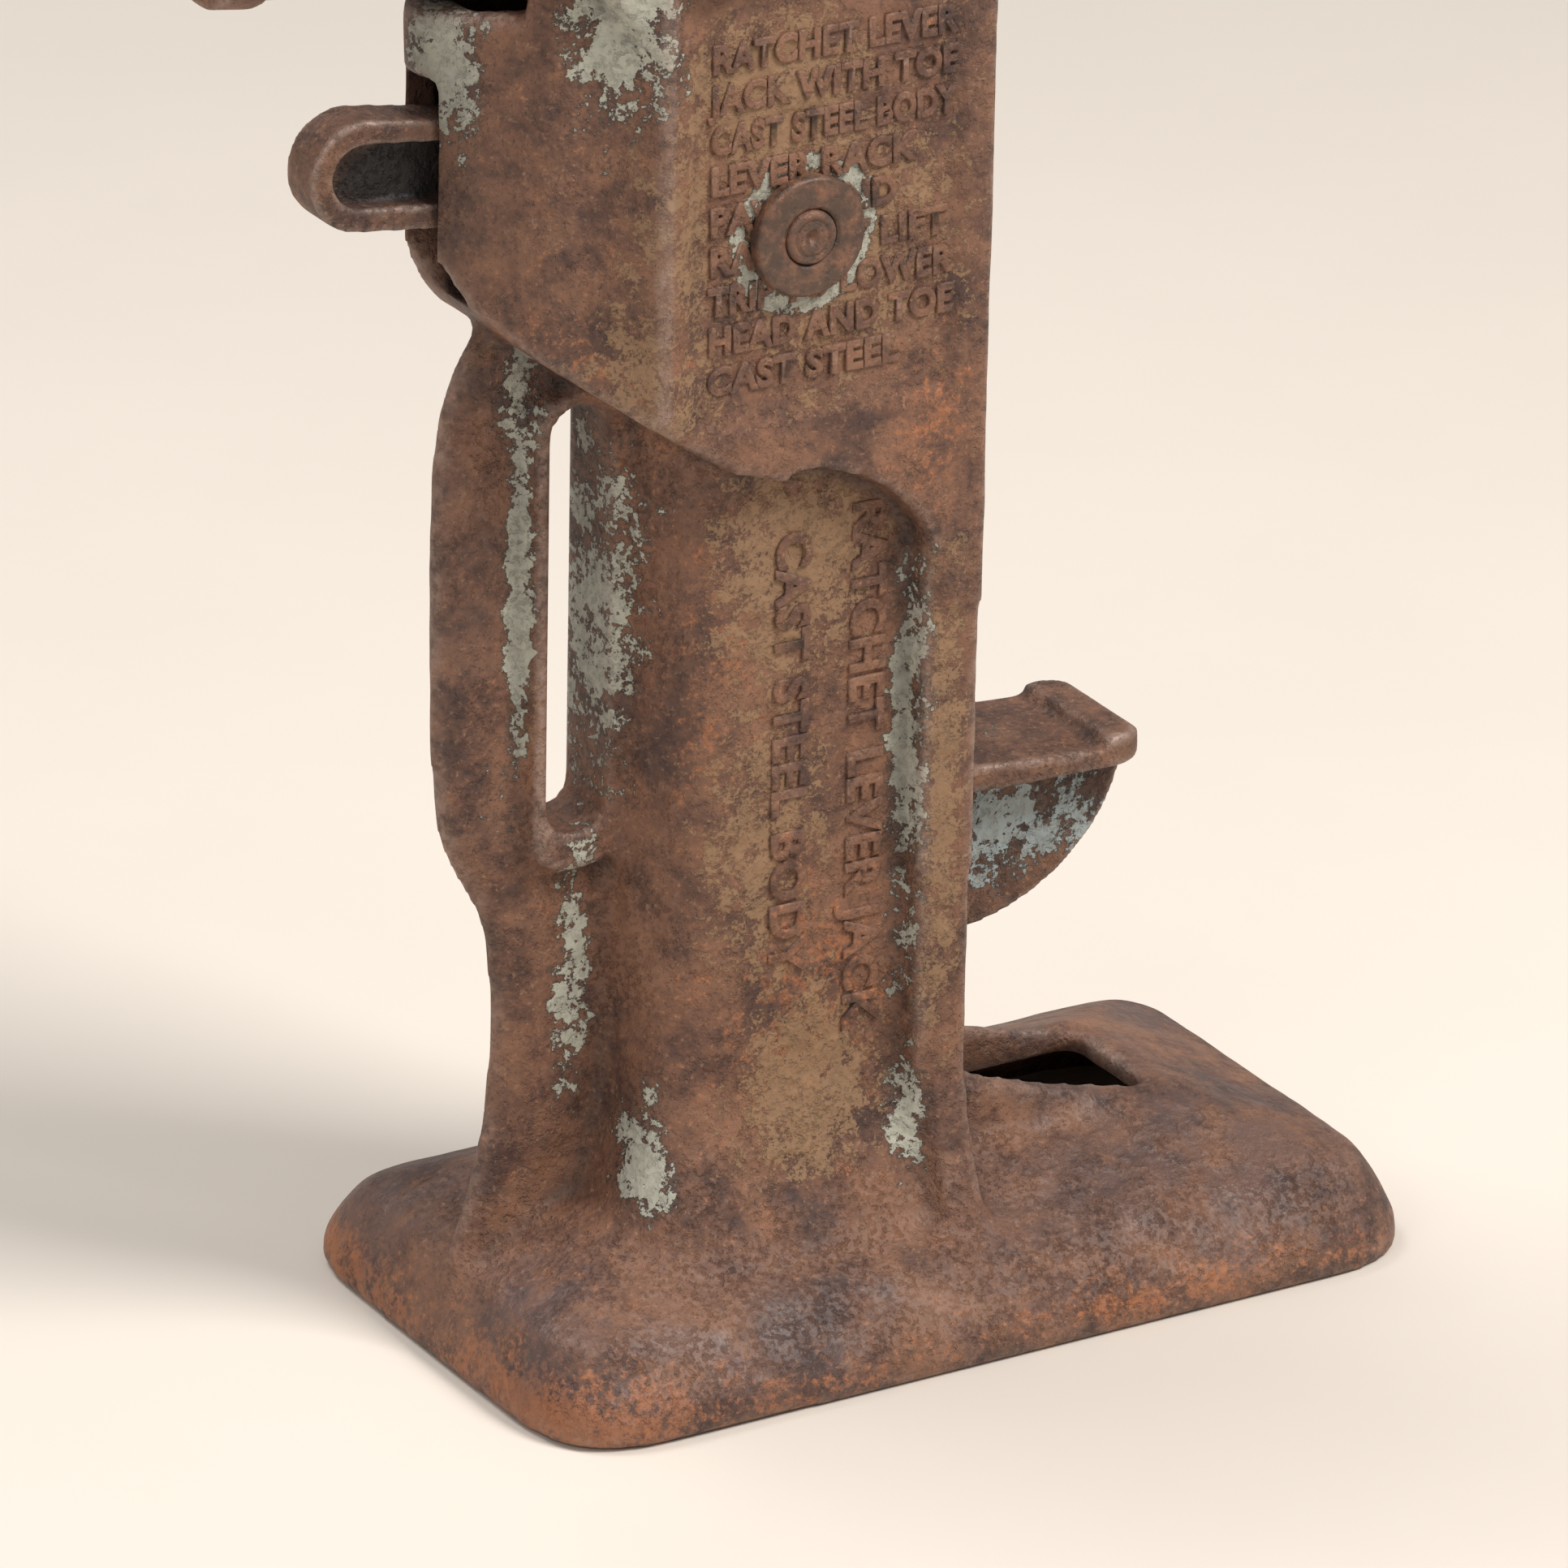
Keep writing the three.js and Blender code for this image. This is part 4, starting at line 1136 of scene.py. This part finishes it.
def make_light(name, azimuth, elevation, distance, size, power, colour):
    """A soft square lamp aimed at the jack's middle."""
    a, e = math.radians(azimuth), math.radians(elevation)
    way = Vector((math.sin(a) * math.cos(e), -math.cos(a) * math.cos(e), math.sin(e)))
    data = bpy.data.lights.new(name, "AREA")
    data.size = size
    data.energy = power
    data.color = colour
    lamp = bpy.data.objects.new(name, data)
    bpy.context.scene.collection.objects.link(lamp)
    turn = way.to_track_quat("Z", "Y").to_matrix().to_4x4()
    lamp.matrix_world = Matrix.Translation(LIT_POINT + way * distance) @ turn


def floor_material():
    """Pale, plain concrete with a faint cloudiness."""
    s = bpy.context.scene.jack_stage
    made, n, shader = new_material("pale floor")
    place = n.place()
    cloud = n.noise(place, 5.0, 4.0, 0.6)
    colour = n.blend(n.rise(cloud, 0.35, 0.65, 0.0, 0.25), tuple(s.floor), tuple(c * 0.93 for c in s.floor))
    n.join(colour, shader.inputs["Base Color"])
    n.join(n.math("ADD", 0.82, n.math("MULTIPLY", cloud, 0.1)), shader.inputs["Roughness"])
    return made


def make_floor():
    """A wide plain floor."""
    bm = bmesh.new()
    bmesh.ops.create_grid(bm, x_segments=4, y_segments=4, size=FLOOR_REACH)
    mesh = bpy.data.meshes.new("floor")
    bm.to_mesh(mesh)
    bm.free()
    floor = link_object("floor", mesh)
    mesh.materials.append(floor_material())


def make_sky():
    """An even, pale surround."""
    world = bpy.data.worlds.new("surround")
    world.use_nodes = True
    background = next(x for x in world.node_tree.nodes if x.type == "BACKGROUND")
    background.inputs["Color"].default_value = SKY_COLOUR
    background.inputs["Strength"].default_value = SKY_STRENGTH
    bpy.context.scene.world = world


# --------------------------------------------------------------------------- operators


class JACK_OT_stage(bpy.types.Operator):
    """Make the floor, the lights and the camera"""

    bl_idname = "jack.stage"
    bl_label = "Stage"

    def execute(self, context):
        make_camera()
        make_floor()
        make_sky()
        for name, values in LIGHTS.items():
            make_light(name, *values)
        context.scene.view_settings.view_transform = "Standard"
        return {"FINISHED"}


class JACK_OT_housing(bpy.types.Operator):
    """Make the housing casting"""

    bl_idname = "jack.housing"
    bl_label = "Housing"

    def execute(self, context):
        make_housing()
        return {"FINISHED"}


class JACK_OT_lettering(bpy.types.Operator):
    """Make the raised words on the housing"""

    bl_idname = "jack.lettering"
    bl_label = "Raised Words"

    def execute(self, context):
        make_lettering()
        return {"FINISHED"}


class JACK_OT_rack(bpy.types.Operator):
    """Make the rack, its toe and the head cap"""

    bl_idname = "jack.rack"
    bl_label = "Rack and Head"

    def execute(self, context):
        make_rack()
        make_small_casting("head_cap_casting", "head_cap", "rack", 3)
        make_pin("head_cap_cross_pin", "head_cap_pin", "rack", False)
        return {"FINISHED"}


class JACK_OT_lever(bpy.types.Operator):
    """Make the lever socket and its screw"""

    bl_idname = "jack.lever"
    bl_label = "Lever Socket"

    def execute(self, context):
        make_small_casting("lever_socket_casting", "lever_socket", "lever", 4)
        forged_copy("lever_bar_set_screw", "lever_bar_screw", "lever", "dark_steel")
        return {"FINISHED"}


class JACK_OT_trip(bpy.types.Operator):
    """Make the trip lever"""

    bl_idname = "jack.trip"
    bl_label = "Trip Lever"

    def execute(self, context):
        make_small_casting("trip_lever_casting", "trip_lever", "trip_lever", 4, wear=1.3)
        return {"FINISHED"}


class JACK_OT_pins(bpy.types.Operator):
    """Make the pins, their collars and the stop screw"""

    bl_idname = "jack.pins"
    bl_label = "Pins and Collars"

    def execute(self, context):
        make_pin("fulcrum_peened_pin", "fulcrum_pin", "housing", True)
        make_pin("pawl_peened_pin", "pawl_pin", "housing", True)
        make_pin("trip_cross_pin", "trip_pin", "housing", False)
        make_pin("lift_pawl_cross_pin", "lift_pawl_pin", "lift_pin", False)
        for side in ("near", "far"):
            make_collar("fulcrum_collar_" + side, "fulcrum_pin")
            make_collar("pawl_collar_" + side, "pawl_pin")
        forged_copy("rack_stop_hex_screw", "rack_stop_screw", "housing", "dark_steel")
        return {"FINISHED"}


class JACK_OT_ratchet(bpy.types.Operator):
    """Make the pawls and their springs"""

    bl_idname = "jack.ratchet"
    bl_label = "Pawls and Springs"

    def execute(self, context):
        forged_copy("holding_pawl_forging", "holding_pawl", "holding_pawl", "greased_steel")
        forged_copy("lift_pawl_forging", "lift_pawl", "lift_pawl", "greased_steel")
        wound_copy("holding_pawl_coil", "holding_pawl_spring", "housing")
        wound_copy("trip_coil", "trip_spring", "housing")
        return {"FINISHED"}


OPERATORS = (
    JACK_OT_stage,
    JACK_OT_housing,
    JACK_OT_lettering,
    JACK_OT_rack,
    JACK_OT_lever,
    JACK_OT_trip,
    JACK_OT_pins,
    JACK_OT_ratchet,
)


class JACK_PT_pieces(bpy.types.Panel):
    """Lists the jack's pieces"""

    bl_idname = "JACK_PT_pieces"
    bl_label = "Lever Jack"
    bl_space_type = "VIEW_3D"
    bl_region_type = "UI"
    bl_category = "Lever Jack"

    def draw(self, context):
        for kind in OPERATORS:
            self.layout.operator(kind.bl_idname)


SETTINGS = {
    "jack_casting": CastingSettings,
    "jack_lettering": LetteringSettings,
    "jack_fittings": FittingSettings,
    "jack_stage": StageSettings,
}
CLASSES = (*SETTINGS.values(), *OPERATORS, JACK_PT_pieces)


def register():
    for kind in CLASSES:
        bpy.utils.register_class(kind)
    for name, kind in SETTINGS.items():
        setattr(bpy.types.Scene, name, PointerProperty(type=kind))


def unregister():
    for name in SETTINGS:
        delattr(bpy.types.Scene, name)
    for kind in reversed(CLASSES):
        bpy.utils.unregister_class(kind)


def main():
    """Registers the add-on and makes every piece."""
    register()
    for kind in OPERATORS:
        group, name = kind.bl_idname.split(".")
        getattr(getattr(bpy.ops, group), name)()


if __name__ == "__main__":
    main()
